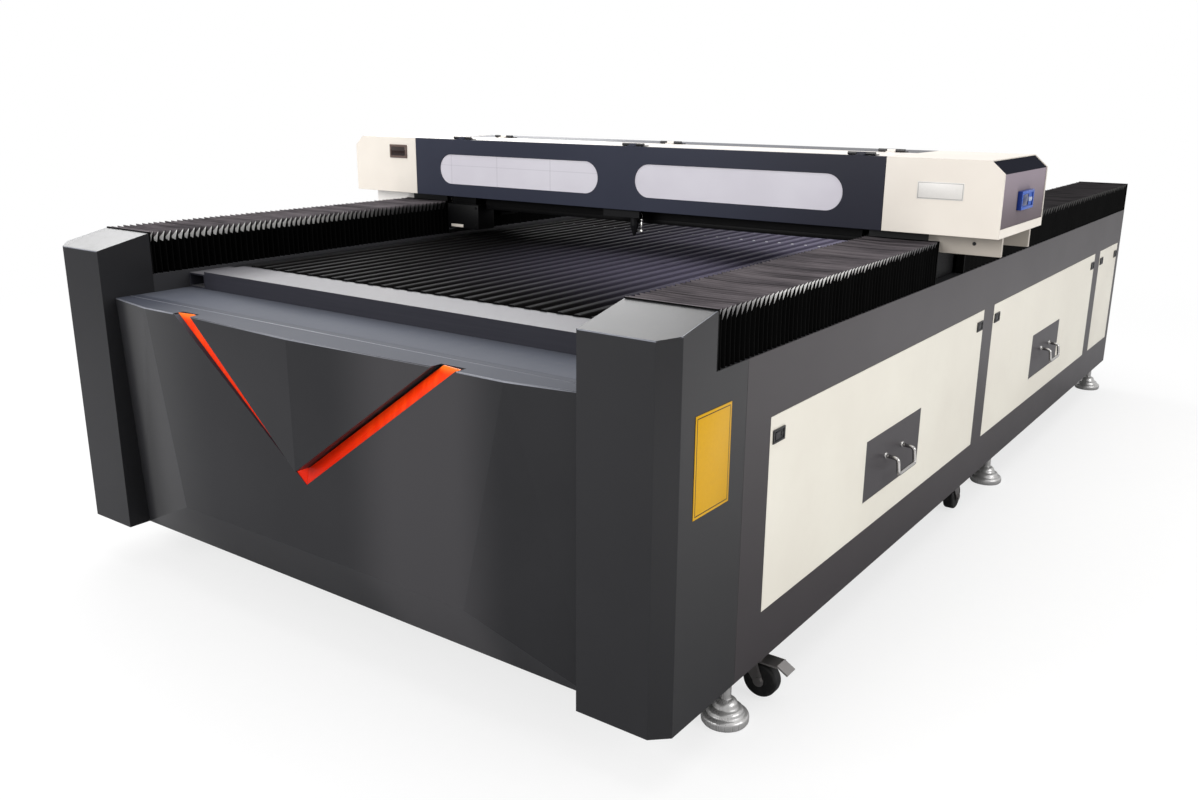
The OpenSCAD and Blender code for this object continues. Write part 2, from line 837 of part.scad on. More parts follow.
// Stepped levelling pads with threaded stems and lock nuts
module levelling_feet() color("silver") placed() both_sides() for (y = foot_ys)
    translate([foot_x, y, -floor_gap]) {
        r = pad_dia / 2;
        step_r = r - pad_step_in;
        neck_r = r - pad_neck_in;
        step_z = pad_h + pad_step_h;
        rotate_extrude() polygon([
            [0, 0], [r, 0], [r, pad_h], [step_r, pad_h], [step_r, step_z], [neck_r, step_z + pad_neck_h],
            [foot_stem_r, step_z + pad_neck_h], [foot_stem_r, floor_gap], [0, floor_gap]]);
        translate([0, 0, floor_gap - nut_h - nut_down]) cylinder(r = nut_r, h = nut_h, $fn = 6);
    }

// Lift-off panel in a side opening: a pan with folded edges and two latches in its upper corners
module side_panel(d, hole_y) {
    hole = is_undef(hole_y) ? [] : [hole_y];
    back = half_w - door_fold;
    difference() {
        bar([back, d[0], door_low], [half_w, d[1], door_top]);
        difference() {
            bar([back - over, d[0] + sheet_t, door_low + sheet_t],
                [skin_in, d[1] - sheet_t, door_top - sheet_t]);
            for (y = hole) drawer_hole(y, back, sheet_t + panel_gap);
        }
        for (y = hole) drawer_hole(y, back - over, panel_gap);
        for (y = latch_places(d)) latch_body(y, weld, back - over);
    }
    for (y = latch_places(d)) {
        latch_body(y, 0, half_w - latch_depth);
        bar([half_w + weld, y - latch_l / 2, latch_z() - latch_h / 2],
            [half_w + latch_t, y + latch_l / 2, latch_z() + latch_h / 2]);
    }
}

// Middle of the latches along a panel, and their height
function latch_places(d) = [d[0] + latch_in + latch_l / 2, d[1] - latch_in - latch_l / 2];
function latch_z() = door_top - latch_down - latch_h / 2;

// Body of a latch that passes through the panel, grown by a clearance
module latch_body(y, grow, back) {
    half_l = latch_l / 2 - latch_rim + grow;
    half_h = latch_h / 2 - latch_rim + grow;
    bar([back, y - half_l, latch_z() - half_h], [half_w + latch_t, y + half_l, latch_z() + half_h]);
}

// Space of a drawer front in a panel, grown by a clearance
module drawer_hole(y, back, grow)
    bar([back, y - drawer_l / 2 - grow, drawer_low - grow],
        [half_w + over, y + drawer_l / 2 + grow, drawer_low + drawer_h + grow]);

module right_front_panel() color("#e2ded2") placed() side_panel(doors[0], drawer_ys[0]);
module right_middle_panel() color("#e2ded2") placed() side_panel(doors[1], drawer_ys[1]);
module right_rear_panel() color("#e2ded2") placed() side_panel(doors[2], undef);
module left_front_panel() color("#e2ded2") placed() mirror([1, 0, 0]) side_panel(doors[0], undef);
module left_middle_panel() color("#e2ded2") placed() mirror([1, 0, 0]) side_panel(doors[1], undef);
module left_rear_panel() color("#e2ded2") placed() mirror([1, 0, 0]) side_panel(doors[2], undef);

// Waste drawer: an open tray behind a flush front
module drawer(y) {
    bar([skin_in, y - drawer_l / 2, drawer_low], [half_w, y + drawer_l / 2, drawer_low + drawer_h]);
    difference() {
        bar([drawer_back, y - drawer_half, drawer_floor],
            [skin_in, y + drawer_half, drawer_low + drawer_h - drawer_top_in]);
        bar([drawer_back + sheet_t, y - drawer_half + sheet_t, drawer_floor + sheet_t],
            [skin_in - sheet_t, y + drawer_half - sheet_t, drawer_low + drawer_h]);
    }
}

module front_drawer() color("#55575a") placed() drawer(drawer_ys[0]);
module rear_drawer() color("#55575a") placed() drawer(drawer_ys[1]);

// Bow handle: a bent rod on two collars
module bow_handle(y) {
    leg = handle_span / 2;
    reach = handle_out - handle_r - handle_bend;
    translate([half_w, y, drawer_low + drawer_h * handle_mid_share]) {
        for (side = [-1, 1]) translate([0, side * leg, 0]) {
            rod_x(handle_r, reach);
            rod_x(handle_foot_r, handle_foot_t);
            translate([reach, -side * handle_bend, 0]) rotate([0, 0, side > 0 ? 0 : -90])
                rotate_extrude(angle = 90) translate([handle_bend, 0]) circle(r = handle_r);
        }
        translate([reach + handle_bend, handle_bend - leg, 0]) rod_y(handle_r, handle_span - 2 * handle_bend);
    }
}

module front_drawer_handle() color("silver") placed() bow_handle(drawer_ys[0]);
module rear_drawer_handle() color("silver") placed() bow_handle(drawer_ys[1]);

// Beam that carries the head's rail, and the lower beam under the plate
module gantry_beam() color("#202124") placed() {
    hollow_bar([-top_beam_half, beam_front, plate_top],
        [top_beam_half, beam_front + top_beam_d, top_beam_top], tube_wall, [1, 0, 0]);
    hollow_bar([-low_beam_left, gantry_y + low_beam_front, gantry_low - low_beam_h],
        [low_beam_right, gantry_y + low_beam_front + low_beam_d, gantry_low], tube_wall, [1, 0, 0]);
}

// Floor plate, rear wall and rear half of the roof, bent from heavy sheet
module gantry_housing() color("#3c3f4b") placed() {
    plate_end = gantry_half - sheet_t - plate_side;
    rear = gantry_rear - sheet_t;
    bar([-plate_end, slide_front, gantry_low], [plate_end, rear - weld, plate_top]);
    both_sides()
        bar([cover_half, gantry_y + sheet_t, gantry_low], [plate_end, slide_front - weld, plate_top]);
    bar([-cover_half, rear, gantry_low], [cover_half, gantry_rear, gantry_top]);
    bar([-cover_half, lid_hinge_y + flange_gap, gantry_top - sheet_t], [cover_half, rear, gantry_top]);
}

// Outline of an end cap seen from the front, at a distance inside its faces and from a given inner end
module cap_outline(t, inner, low) polygon([
    [inner, low], [gantry_half - t, low], [gantry_half - t, gantry_top - cap_cut_z - t / 2],
    [gantry_half - cap_cut_x - t / 2, gantry_top - t], [inner, gantry_top - t]]);

// End cap: a white shell, open below and towards the cover, with brackets beneath
module end_cap() {
    difference() {
        translate([0, gantry_y, 0]) along(gantry_d) cap_outline(0, cover_half, gantry_low);
        translate([0, gantry_y + sheet_t, 0]) along(gantry_d - 2 * sheet_t)
            cap_outline(sheet_t, cover_half - over, gantry_low - over);
        bar([gantry_half - cap_cut_x, gantry_y + end_rim, gantry_low + end_strip_h],
            [gantry_half + over, gantry_rear - end_rim, gantry_top + over]);
    }
    // transverse brackets below the floor plate
    front_y = carriage_y - carriage_half - bracket_gap - bracket_t;
    bar([inner_x + bracket_clear, front_y, gantry_low - bracket_h],
        [gantry_half - bracket_in, front_y + bracket_t, gantry_low]);
    bar([half_w + bracket_clear, rear_bracket_y, gantry_low - bracket_h],
        [gantry_half - bracket_in, rear_bracket_y + bracket_t, gantry_low]);
}

module right_end_cap() color("#e8e0d6") placed() end_cap();
module left_end_cap() color("#e8e0d6") placed() mirror([1, 0, 0]) end_cap();

// Dark plates that close the ends of the gantry, bent over the chamfer
module end_panels() color("#3c3f4b") placed() both_sides() {
    low = gantry_low + end_strip_h;
    translate([0, gantry_y + end_rim + weld, 0]) along(gantry_d - 2 * (end_rim + weld)) difference() {
        cap_outline(end_set, gantry_half - cap_cut_x - end_lip, low - end_lip);
        cap_outline(end_set + end_panel_t, cover_half, low - end_lip - over);
    }
}

// Carriages on the long rails: ball blocks, risers and the bearings of the drive shaft
module y_carriages() color("#c9c7c4") placed() both_sides() {
    for (side = [-1, 1]) {
        y = carriage_y + side * (block_space + block_l) / 2;
        difference() {
            bar([rail_x - block_w / 2, y - block_l / 2, block_low],
                [rail_x + block_w / 2, y + block_l / 2, block_top]);
            bar([rail_x - rail_w / 2 - run_gap, y - block_l / 2 - over, block_low - over],
                [rail_x + rail_w / 2 + run_gap, y + block_l / 2 + over, side_h + rail_h + run_gap]);
        }
        hollow_bar([rail_x - riser_half, y - block_l / 2, block_top],
            [rail_x + riser_half, y + block_l / 2, gantry_low], riser_wall, [1, 0, 0]);
    }
    difference() {
        bar([rail_x - riser_half, carriage_y - block_space / 2, shaft_z - bearing_low],
            [rail_x - riser_half + bearing_t, carriage_y + block_space / 2, gantry_low]);
        translate([rail_x - riser_half - over, shaft_y, shaft_z])
            rod_x(shaft_dia / 2 + fit_gap, bearing_t + 2 * over);
    }
}

// Motor that turns the drive shaft, under the plate, and the motor of the head's belt, on the beam
module drive_motors() color("#26272a") placed() {
    low_y = shaft_y + shaft_dia / 2 + y_motor_clear;
    bar([-y_motor_x, low_y, gantry_low - y_motor_h],
        [y_motor_l - y_motor_x, low_y + y_motor_d, gantry_low]);
    bar([y_motor_l - y_motor_x, low_y + y_gear_in, gantry_low - y_motor_h + y_gear_in],
        [y_motor_l + y_gear_l - y_motor_x, low_y + y_motor_d - y_gear_in, gantry_low]);
    motor_y = x_belt_y + x_belt_w + x_motor_gap;
    translate([-x_pulley_x, 0, 0]) {
        bar([-x_motor / 2, motor_y, top_beam_top],
            [x_motor / 2, motor_y + x_motor_l, x_pulley_z + x_motor / 2]);
        translate([0, x_belt_y - x_pulley_rim, x_pulley_z])
            rod_y(x_shaft_r, x_belt_w + x_pulley_rim + x_motor_gap);
    }
    // idler post at the other end of the belt
    translate([x_pulley_x, 0, 0]) {
        bar([-x_pulley_r, motor_y, top_beam_top],
            [x_pulley_r, motor_y + x_belt_w, x_pulley_z + x_shaft_r + x_belt_w]);
        translate([0, x_belt_y, x_pulley_z]) rod_y(x_pulley_r, x_belt_w);
        translate([0, x_belt_y + x_belt_w, x_pulley_z]) rod_y(x_shaft_r, x_motor_gap);
    }
}

// Drive shaft across the machine with a flanged pulley over each belt
module drive_shaft() color("#2b2b2d") placed() translate([0, shaft_y, shaft_z]) {
    rim = x_pulley_rim;
    rim_t = rim - run_gap;
    first = belt_x - belt_w / 2 - rim;
    translate([weld - first, 0, 0]) rod_x(shaft_dia / 2, 2 * (first - weld));
    both_sides() translate([first, 0, 0]) {
        translate([rim_t + weld, 0, 0]) rod_x(pulley_r, belt_w + 2 * (run_gap - weld));
        for (x = [0, belt_w + rim + run_gap]) translate([x, 0, 0]) rod_x(pulley_r + rim, rim_t);
    }
}

// Glass laser tube with metal end caps
module laser_tube() color("#d8e4ea") placed() translate([-tube_l / 2, tube_y, optics_z]) {
    r = tube_dia / 2;
    rod_x(r, tube_l);
    for (x = [0, tube_l - tube_cap_l]) translate([x, 0, 0]) rod_x(r + tube_cap_grow, tube_cap_l);
}

// Two clamps that hold the tube above the plate
module tube_clamps() color("#9a9a9c") placed() for (share = clamp_x_shares)
    translate([share * tube_l / 2 - clamp_l / 2, tube_y, optics_z]) difference() {
        r = tube_dia / 2;
        union() {
            rod_x(r + clamp_wall, clamp_l);
            bar([0, -r, plate_top - optics_z], [clamp_l, r, 0]);
        }
        translate([-over, 0, 0]) rod_x(r + weld, clamp_l + 2 * over);
    }

// Mirror holders that turn the beam from the tube to the head
module mirror_mounts() color("#2a2a2c") placed() for (y = [tube_y, head_y])
    translate([mirror_x, y, optics_z]) {
        face = y == tube_y ? 225 : 135;
        difference() {
            bar([-mirror_half, -mirror_half, -mirror_half], [mirror_half, mirror_half, mirror_half]);
            rotate([0, 0, face]) translate([mirror_half - mirror_sink, 0, 0])
                rod_x(mirror_dia / 2, mirror_half);
        }
        bar([-mirror_stem, -mirror_stem, plate_top - optics_z], [mirror_stem, mirror_stem, -mirror_half]);
    }

// Rail on the front of the beam that the head runs on
module x_rail() color("silver") placed()
    translate([-x_rail_half, beam_front, x_rail_z + x_rail_w / 2]) rotate([90, 0, 90])
        linear_extrude(2 * x_rail_half) rotate(90) rail_section(x_rail_w, x_rail_d);

// Toothed belt that pulls the head
module x_belt() color("#1c1c1e") placed() translate([0, x_belt_y, x_pulley_z]) along(x_belt_w)
    difference() {
        belt_loop(x_pulley_r + run_gap + x_belt_t);
        belt_loop(x_pulley_r + run_gap);
    }

// Outline of a belt round two equal pulleys
module belt_loop(r) {
    square([2 * x_pulley_x, 2 * r], center = true);
    for (side = [-1, 1]) translate([side * x_pulley_x, 0]) circle(r = r);
}

// Pulley on the motor of the head's belt
module x_drive_pulley() color("silver") placed()
    translate([-x_pulley_x, x_belt_y, x_pulley_z]) difference() {
        rod_y(x_pulley_r, x_belt_w);
        translate([0, -over, 0]) rod_y(x_shaft_r + fit_gap, x_belt_w + 2 * over);
    }

// Meter on the right end and display on the left cap
module panel_meters() color("#3c78c8") placed() {
    face = gantry_half - end_set;
    y = gantry_y + meter_front;
    z = gantry_low + meter_low;
    difference() {
        bar([face, y, z], [face + meter_t, y + meter_l, z + meter_h]);
        bar([face + meter_t - meter_dish, y + meter_rim, z + meter_rim],
            [face + meter_t + over, y + meter_l - meter_rim, z + meter_h - meter_rim]);
    }
    translate([-display_x, gantry_y - display_t, gantry_low + display_z]) difference() {
        bar([-display_l / 2, 0, -display_h / 2], [display_l / 2, display_t, display_h / 2]);
        bar([meter_rim - display_l / 2, -over, meter_rim - display_h / 2],
            [display_l / 2 - meter_rim, display_t / 2, display_h / 2 - meter_rim]);
    }
}

// Places of the hinges across the gantry
module at_hinges() for (share = hinge_x_shares)
    translate([share * (cover_half - hinge_l / 2), 0, hinge_z]) children();

// Carrying half of a hinge: a leaf to the rear and the two outer knuckles
module hinge_carrier() {
    part = hinge_l * hinge_part_share;
    for (x = [-hinge_l / 2, hinge_l / 2 - part]) translate([x, 0, 0]) rod_x(hinge_r, part);
    bar([-hinge_l / 2, hinge_r + hinge_gap, -hinge_r - hinge_up],
        [hinge_l / 2, hinge_leaf, hinge_leaf_t - hinge_r - hinge_up]);
    for (x = [-hinge_l / 2, hinge_l / 2 - part])
        bar([x, flange_gap, -hinge_r - hinge_up], [x + part, hinge_r + hinge_gap, 0]);
}

// Moving half of a hinge: a leaf to the front and the middle knuckle
module hinge_mover() {
    part = hinge_l * hinge_part_share - 2 * hinge_gap;
    translate([-part / 2, 0, 0]) rod_x(hinge_r, part);
    bar([-part / 2, -hinge_r, -hinge_r], [part / 2, -flange_gap, 0]);
    bar([-part / 2, -hinge_in, -hinge_r - hinge_up],
        [part / 2, -flange_gap, hinge_leaf_t - hinge_r - hinge_up]);
}

module lid_hinges() color("#1e1e20") placed() translate([0, lid_hinge_y, 0]) at_hinges() hinge_carrier();
module cover_hinges() color("#1e1e20") placed() translate([0, cover_hinge_y, 0]) at_hinges() hinge_carrier();

// Front half of the gantry's roof, hinged at its rear edge
module top_lid() color("#d9d6d2") placed() {
    bar([-cover_edge, cover_hinge_y + flange_gap, gantry_top - sheet_t],
        [cover_edge, lid_hinge_y - flange_gap, gantry_top]);
    translate([0, lid_hinge_y, 0]) at_hinges() hinge_mover();
}

// Outline of a window, grown by a margin
module window_outline(grow) {
    r = window_h / 2;
    for (side = [-1, 1]) translate([side * (window_in + window_out) / 2, gantry_low + window_mid]) {
        square([window_out - window_in - 2 * r, 2 * (r + grow)], center = true);
        for (end = [-1, 1]) translate([end * ((window_out - window_in) / 2 - r), 0]) circle(r = r + grow);
    }
}

// Front cover with two windows, folded at its edges and hinged along its top
module front_cover() color("#3e414e") placed() {
    difference() {
        bar([-cover_edge, gantry_y, gantry_low], [cover_edge, gantry_y + cover_fold + sheet_t, gantry_top]);
        bar([sheet_t - cover_edge, gantry_y + sheet_t, gantry_low + sheet_t],
            [cover_edge - sheet_t, gantry_y + cover_fold + sheet_t + over, gantry_top - sheet_t]);
        translate([0, gantry_y - over, 0]) along(sheet_t + 2 * over) window_outline(0);
    }
    bar([-cover_edge, gantry_y + cover_fold + sheet_t, gantry_top - sheet_t],
        [cover_edge, cover_hinge_y - flange_gap, gantry_top]);
    translate([0, cover_hinge_y, 0]) at_hinges() hinge_mover();
}

// Window panes fixed behind the cover
module cover_windows() color("#cdcbd4") placed()
    translate([0, gantry_y + sheet_t, 0]) along(window_t) window_outline(window_lap);

// Head carriage: plate, ball block, mirror block, lens holder and belt clip
module head_carriage() color("#2c2d30") placed() translate([head_x, 0, 0]) {
    back = head_plate_back;
    clip_z = x_pulley_z - x_pulley_r - run_gap - x_belt_t - run_gap;
    bar([-head_left, back - head_plate_t, plate_top - head_low], [head_right, back, clip_z]);
    difference() {
        mid_z = x_rail_z + x_rail_w / 2;
        slot = x_rail_w / 2 + run_gap;
        bar([-head_left, back, mid_z - head_block_h / 2],
            [head_block_l - head_left, beam_front - head_block_out, mid_z + head_block_h / 2]);
        bar([-head_left - over, beam_front - x_rail_d - run_gap, mid_z - slot],
            [head_block_l - head_left + over, beam_front, mid_z + slot]);
    }
    bar([-mirror_block / 2, back, optics_z - mirror_block / 2],
        [mirror_block / 2, back + mirror_block_d, optics_z + mirror_block / 2]);
    difference() {
        bar([-holder_half, back, plate_top - head_low],
            [holder_half, back + holder_d, plate_top - head_low + holder_h]);
        translate([0, head_y, plate_top - head_low - over])
            cylinder(r = lens_r + fit_gap, h = holder_h + 2 * over);
    }
    bar([-head_left, back, clip_z - clip_t], [clip_l - head_left, x_belt_y + x_belt_w, clip_z]);
}

// Lens tube that slides in its holder, with the nozzle at its lower end
module lens_tube() color("#1d1d1f") placed() translate([head_x, head_y, nozzle_tip]) difference() {
    union() {
        cylinder(r1 = nozzle_r, r2 = lens_r, h = nozzle_h);
        translate([0, 0, nozzle_h]) cylinder(r = lens_r, h = lens_top - nozzle_h);
    }
    translate([0, 0, -over]) cylinder(r = nozzle_bore, h = lens_top + 2 * over);
}

// Mounting plate and swivel cup of one caster, under the sill
module caster_plate(y) translate([caster_x, y, 0]) {
    bar([-caster_plate_w / 2, -caster_plate_l / 2, -caster_plate_t - weld],
        [caster_plate_w / 2, caster_plate_l / 2, -weld]);
    translate([0, 0, -caster_plate_t - caster_cup_h - weld]) cylinder(r = caster_cup_r, h = caster_cup_h);
}

// Fork of a caster that trails along +x, with its axle and brake pedal
module caster_fork() {
    drop = caster_head_top - caster_head_t;
    translate([0, 0, drop]) cylinder(r = caster_cup_r, h = caster_head_t);
    for (side = [-1, 1]) {
        near = side * fork_half;
        far = side * (fork_half + fork_t);
        translate([0, min(near, far), 0]) along(fork_t) {
            polygon([
                [-caster_cup_r * fork_head_share, drop], [caster_cup_r * fork_head_share, drop],
                [caster_trail + fork_round, axle_z], [caster_trail - fork_round, axle_z]]);
            translate([caster_trail, axle_z]) circle(r = fork_round);
        }
        translate([caster_trail, min(far, far + side * axle_head_t), axle_z]) rod_y(axle_head_r, axle_head_t);
    }
    translate([caster_trail, -fork_half, axle_z]) rod_y(axle_r, 2 * fork_half);
    // brake pedal behind the wheel
    pedal_z = drop - pedal_t;
    pedal_x = caster_trail + wheel_r + pedal_t;
    bar([0, -fork_half - fork_t, pedal_z], [pedal_x, fork_half + fork_t, drop]);
    translate([pedal_x, 0, pedal_z]) rotate([0, pedal_slope, 0])
        bar([-pedal_t, -pedal_w / 2, 0], [pedal_l, pedal_w / 2, pedal_t]);
}

// Wheel of a caster, with a rounded tyre and a hub that is bored for the axle
module caster_wheel() {
    core_r = wheel_r - tyre_round;
    core_w = wheel_w / 2 - tyre_round;
    face = wheel_w / 2 + hub_grow;
    bore = axle_r + fit_gap;
    translate([caster_trail, 0, axle_z]) rotate([90, 0, 0]) rotate_extrude() polygon(concat(
        [[bore, -face], [hub_r, -face], [hub_r, -wheel_w / 2]],
        [for (a = [-90:30:0]) [core_r + tyre_round * cos(a), tyre_round * sin(a) - core_w]],
        [for (a = [0:30:90]) [core_r + tyre_round * cos(a), tyre_round * sin(a) + core_w]],
        [[hub_r, wheel_w / 2], [hub_r, face], [bore, face]]));
}

// The front casters trail outwards, the second ones to the rear
module at_front_caster() placed() translate([caster_x, caster_front, 0]) children();
module at_second_caster() placed() translate([caster_x, caster_second, 0]) rotate([0, 0, 90]) children();

module front_right_fork() color("#b9babc") at_front_caster() caster_fork();
module front_left_fork() color("#b9babc") mirror([1, 0, 0]) at_front_caster() caster_fork();
module second_right_fork() color("#b9babc") at_second_caster() caster_fork();
module second_left_fork() color("#b9babc") mirror([1, 0, 0]) at_second_caster() caster_fork();
module front_right_wheel() color("#1a1a1a") at_front_caster() caster_wheel();
module front_left_wheel() color("#1a1a1a") mirror([1, 0, 0]) at_front_caster() caster_wheel();
module second_right_wheel() color("#1a1a1a") at_second_caster() caster_wheel();
module second_left_wheel() color("#1a1a1a") mirror([1, 0, 0]) at_second_caster() caster_wheel();

base_frame();
right_skin();
left_skin();
right_post();
left_post();
front_panel();
vee_insert();
vee_strips();
front_ledge();
rear_panel();
exhaust_spigots();
bed_frame();
knife_slats();
y_rails();
y_belts();
front_right_bellows();
front_left_bellows();
rear_right_bellows();
rear_left_bellows();
levelling_feet();
right_front_panel();
right_middle_panel();
right_rear_panel();
left_front_panel();
left_middle_panel();
left_rear_panel();
front_drawer();
rear_drawer();
front_drawer_handle();
rear_drawer_handle();
gantry_beam();
gantry_housing();
left_end_cap();
right_end_cap();
end_panels();
y_carriages();
drive_motors();
drive_shaft();
laser_tube();
tube_clamps();
mirror_mounts();
x_rail();
x_belt();
x_drive_pulley();
panel_meters();
lid_hinges();
top_lid();
cover_hinges();
front_cover();
cover_windows();
head_carriage();
lens_tube();
front_right_fork();
front_left_fork();
second_right_fork();
second_left_fork();
front_right_wheel();
front_left_wheel();
second_right_wheel();
second_left_wheel();
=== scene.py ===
import bmesh
import bpy
import math
from mathutils import Matrix, Vector
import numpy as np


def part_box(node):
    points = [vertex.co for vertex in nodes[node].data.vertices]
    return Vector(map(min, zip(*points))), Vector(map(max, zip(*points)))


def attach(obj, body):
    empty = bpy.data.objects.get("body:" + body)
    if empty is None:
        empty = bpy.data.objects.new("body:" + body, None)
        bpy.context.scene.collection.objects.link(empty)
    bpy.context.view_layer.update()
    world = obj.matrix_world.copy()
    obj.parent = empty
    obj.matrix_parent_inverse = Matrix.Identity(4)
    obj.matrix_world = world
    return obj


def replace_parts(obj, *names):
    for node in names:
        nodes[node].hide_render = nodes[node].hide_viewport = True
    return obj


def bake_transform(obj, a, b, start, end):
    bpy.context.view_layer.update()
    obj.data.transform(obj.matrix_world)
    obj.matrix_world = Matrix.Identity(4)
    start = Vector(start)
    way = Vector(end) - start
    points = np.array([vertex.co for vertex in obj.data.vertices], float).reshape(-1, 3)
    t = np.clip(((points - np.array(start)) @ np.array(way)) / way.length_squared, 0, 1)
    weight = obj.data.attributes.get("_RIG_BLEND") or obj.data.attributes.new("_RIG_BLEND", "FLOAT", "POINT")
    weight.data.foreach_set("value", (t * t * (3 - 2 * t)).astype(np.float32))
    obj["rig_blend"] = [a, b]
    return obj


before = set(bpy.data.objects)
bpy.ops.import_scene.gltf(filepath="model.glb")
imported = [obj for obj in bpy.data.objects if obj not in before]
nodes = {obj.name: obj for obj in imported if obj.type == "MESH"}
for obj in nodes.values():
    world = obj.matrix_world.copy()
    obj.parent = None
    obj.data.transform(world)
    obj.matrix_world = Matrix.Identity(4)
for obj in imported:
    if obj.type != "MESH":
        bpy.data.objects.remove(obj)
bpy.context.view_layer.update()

# The view: a camera at a standing person's chest height, off the right front corner,
# solved for a frame of 1198 by 800 pixels and turned slightly clockwise.
turn, dip, lean = math.radians(35.6967), math.radians(15.9425), math.radians(0.4039)
stand = Vector((1.7396, -3.1245, 1.1882))
ahead = Vector((-math.sin(turn) * math.cos(dip), math.cos(turn) * math.cos(dip), -math.sin(dip)))
level = Vector((math.cos(turn), math.sin(turn), 0))
upward = level.cross(ahead)
right = level * math.cos(lean) + upward * math.sin(lean)
above = upward * math.cos(lean) - level * math.sin(lean)
camera = bpy.data.objects.new("camera", bpy.data.cameras.new("camera"))
camera.data.sensor_width = 36
camera.data.lens = 32.09
camera.data.clip_end = 200
camera.matrix_world = Matrix.Translation(stand) @ Matrix((right, above, -ahead)).transposed().to_4x4()
bpy.context.scene.collection.objects.link(camera)
bpy.context.scene.camera = camera
bpy.context.scene.view_settings.view_transform = "Standard"


# The room: a plain pale floor that fades to white with distance, a white surround,
# and soft studio lamps overhead, on the right, off the left front corner and high on the left.
class Shade:
    # a socket of a material's node tree, on which sums and products add Math nodes
    def __init__(self, tree, socket):
        self.tree, self.socket = tree, socket

    def node(self, kind, settings, sockets, output=0):
        made = self.tree.nodes.new("ShaderNode" + kind)
        for name, value in settings.items():
            setattr(made, name, value)
        for name, value in sockets.items():
            if isinstance(value, Shade):
                self.tree.links.new(value.socket, made.inputs[name])
            else:
                made.inputs[name].default_value = value
        return Shade(self.tree, made.outputs[output])

    def math(self, operation, first, second=0.0):
        return self.node("Math", {"operation": operation}, {0: first, 1: second})

    def __add__(self, other):
        return self.math("ADD", self, other)

    def __sub__(self, other):
        return self.math("SUBTRACT", self, other)

    def __rsub__(self, other):
        return self.math("SUBTRACT", other, self)

    def __mul__(self, other):
        return self.math("MULTIPLY", self, other)

    def __gt__(self, other):
        return self.math("GREATER_THAN", self, other)

    def __lt__(self, other):
        return self.math("LESS_THAN", self, other)

    def __abs__(self):
        return self.math("ABSOLUTE", self)

    __radd__, __rmul__ = __add__, __mul__

    def wave(self):
        return self.math("SINE", self)

    def least(self, other):
        return self.math("MINIMUM", self, other)

    def part(self, axis):
        return self.node("SeparateXYZ", {}, {0: self}, axis)

    def facing(self, axis):
        return self.node("NewGeometry", {}, {}, "Normal").part(axis)

    def stretched(self, by):
        return self.node("VectorMath", {"operation": "MULTIPLY"}, {0: self, 1: by})

    def noise(self, scale, detail=3.0, rough=0.55):
        return self.node("TexNoise", {}, {"Vector": self, "Scale": scale, "Detail": detail,
                                          "Roughness": rough})

    def step(self, low, high):
        return self.node("MapRange", {"interpolation_type": "SMOOTHSTEP"},
                         {"Value": self, "From Min": low, "From Max": high})

    def mix(self, zero, one):
        return self.node("Mix", {"data_type": "RGBA"}, {0: self, 6: zero, 7: one}, 2)

    def bump(self, height, strength=0.2, soft=0.0):
        rounded = {"Normal": self.node("Bevel", {"samples": 4}, {"Radius": soft})} if soft else {}
        return self.node("Bump", {}, {"Height": height, "Strength": strength, "Distance": 0.001, **rounded})


def floor_recipe():
    material = bpy.data.materials.new("pale_floor")
    material.use_nodes = True
    tree = material.node_tree
    shader = tree.nodes["Principled BSDF"]
    shader.inputs["Roughness"].default_value = 0.9
    shader.inputs["Specular IOR Level"].default_value = 0.0
    place = Shade(tree, tree.nodes.new("ShaderNodeTexCoord").outputs["Object"])
    seen = place.node("LightPath", {}, {}, "Is Camera Ray")
    mirrored = place.node("LightPath", {}, {}, "Is Glossy Ray")
    speck = place.noise(30.0, 2.0).mix((0.90, 0.90, 0.90, 1), (0.94, 0.94, 0.94, 1))
    grey = place.part(0).step(0.9, 2.2).mix((0.36, 0.36, 0.37, 1), (0.85, 0.84, 0.85, 1))
    tree.links.new(mirrored.mix(speck, grey).socket, shader.inputs["Base Color"])
    away = place.node("VectorMath", {"operation": "LENGTH"}, {0: place}, 1).step(1.2, 5.0)
    white = place.node("Emission", {}, {"Color": (1, 1, 1, 1), "Strength": 1.0})
    glow = seen * (0.72 + 0.28 * away)
    both = place.node("MixShader", {}, {0: glow, 1: Shade(tree, shader.outputs[0]), 2: white})
    tree.links.new(both.socket, tree.nodes["Material Output"].inputs["Surface"])
    return material


floor_half = 60
floor_corners = [(x * floor_half, y * floor_half, 0) for x, y in ((-1, -1), (1, -1), (1, 1), (-1, 1))]
floor_mesh = bpy.data.meshes.new("floor")
floor_mesh.from_pydata(floor_corners, [], [(0, 1, 2, 3)])
floor = bpy.data.objects.new("floor", floor_mesh)
floor.data.materials.append(floor_recipe())
bpy.context.scene.collection.objects.link(floor)

surround = bpy.data.worlds.new("surround")
bpy.context.scene.world = surround
surround.use_nodes = True
sky = surround.node_tree
rays = sky.nodes.new("ShaderNodeLightPath").outputs
seen, mirrored = Shade(sky, rays["Is Camera Ray"]), Shade(sky, rays["Is Glossy Ray"])
sky.nodes["Background"].inputs["Color"].default_value = (1, 1, 1, 1)
sky.links.new((0.55 + 0.45 * seen + 0.25 * mirrored).socket, sky.nodes["Background"].inputs["Strength"])


def lamp(name, place, towards, wide, deep, watts):
    light = bpy.data.lights.new(name, "AREA")
    light.shape = "RECTANGLE"
    light.size, light.size_y, light.energy = wide, deep, watts
    holder = bpy.data.objects.new(name, light)
    holder.location = place
    holder.rotation_euler = (Vector(towards) - Vector(place)).to_track_quat("-Z", "Y").to_euler()
    bpy.context.scene.collection.objects.link(holder)


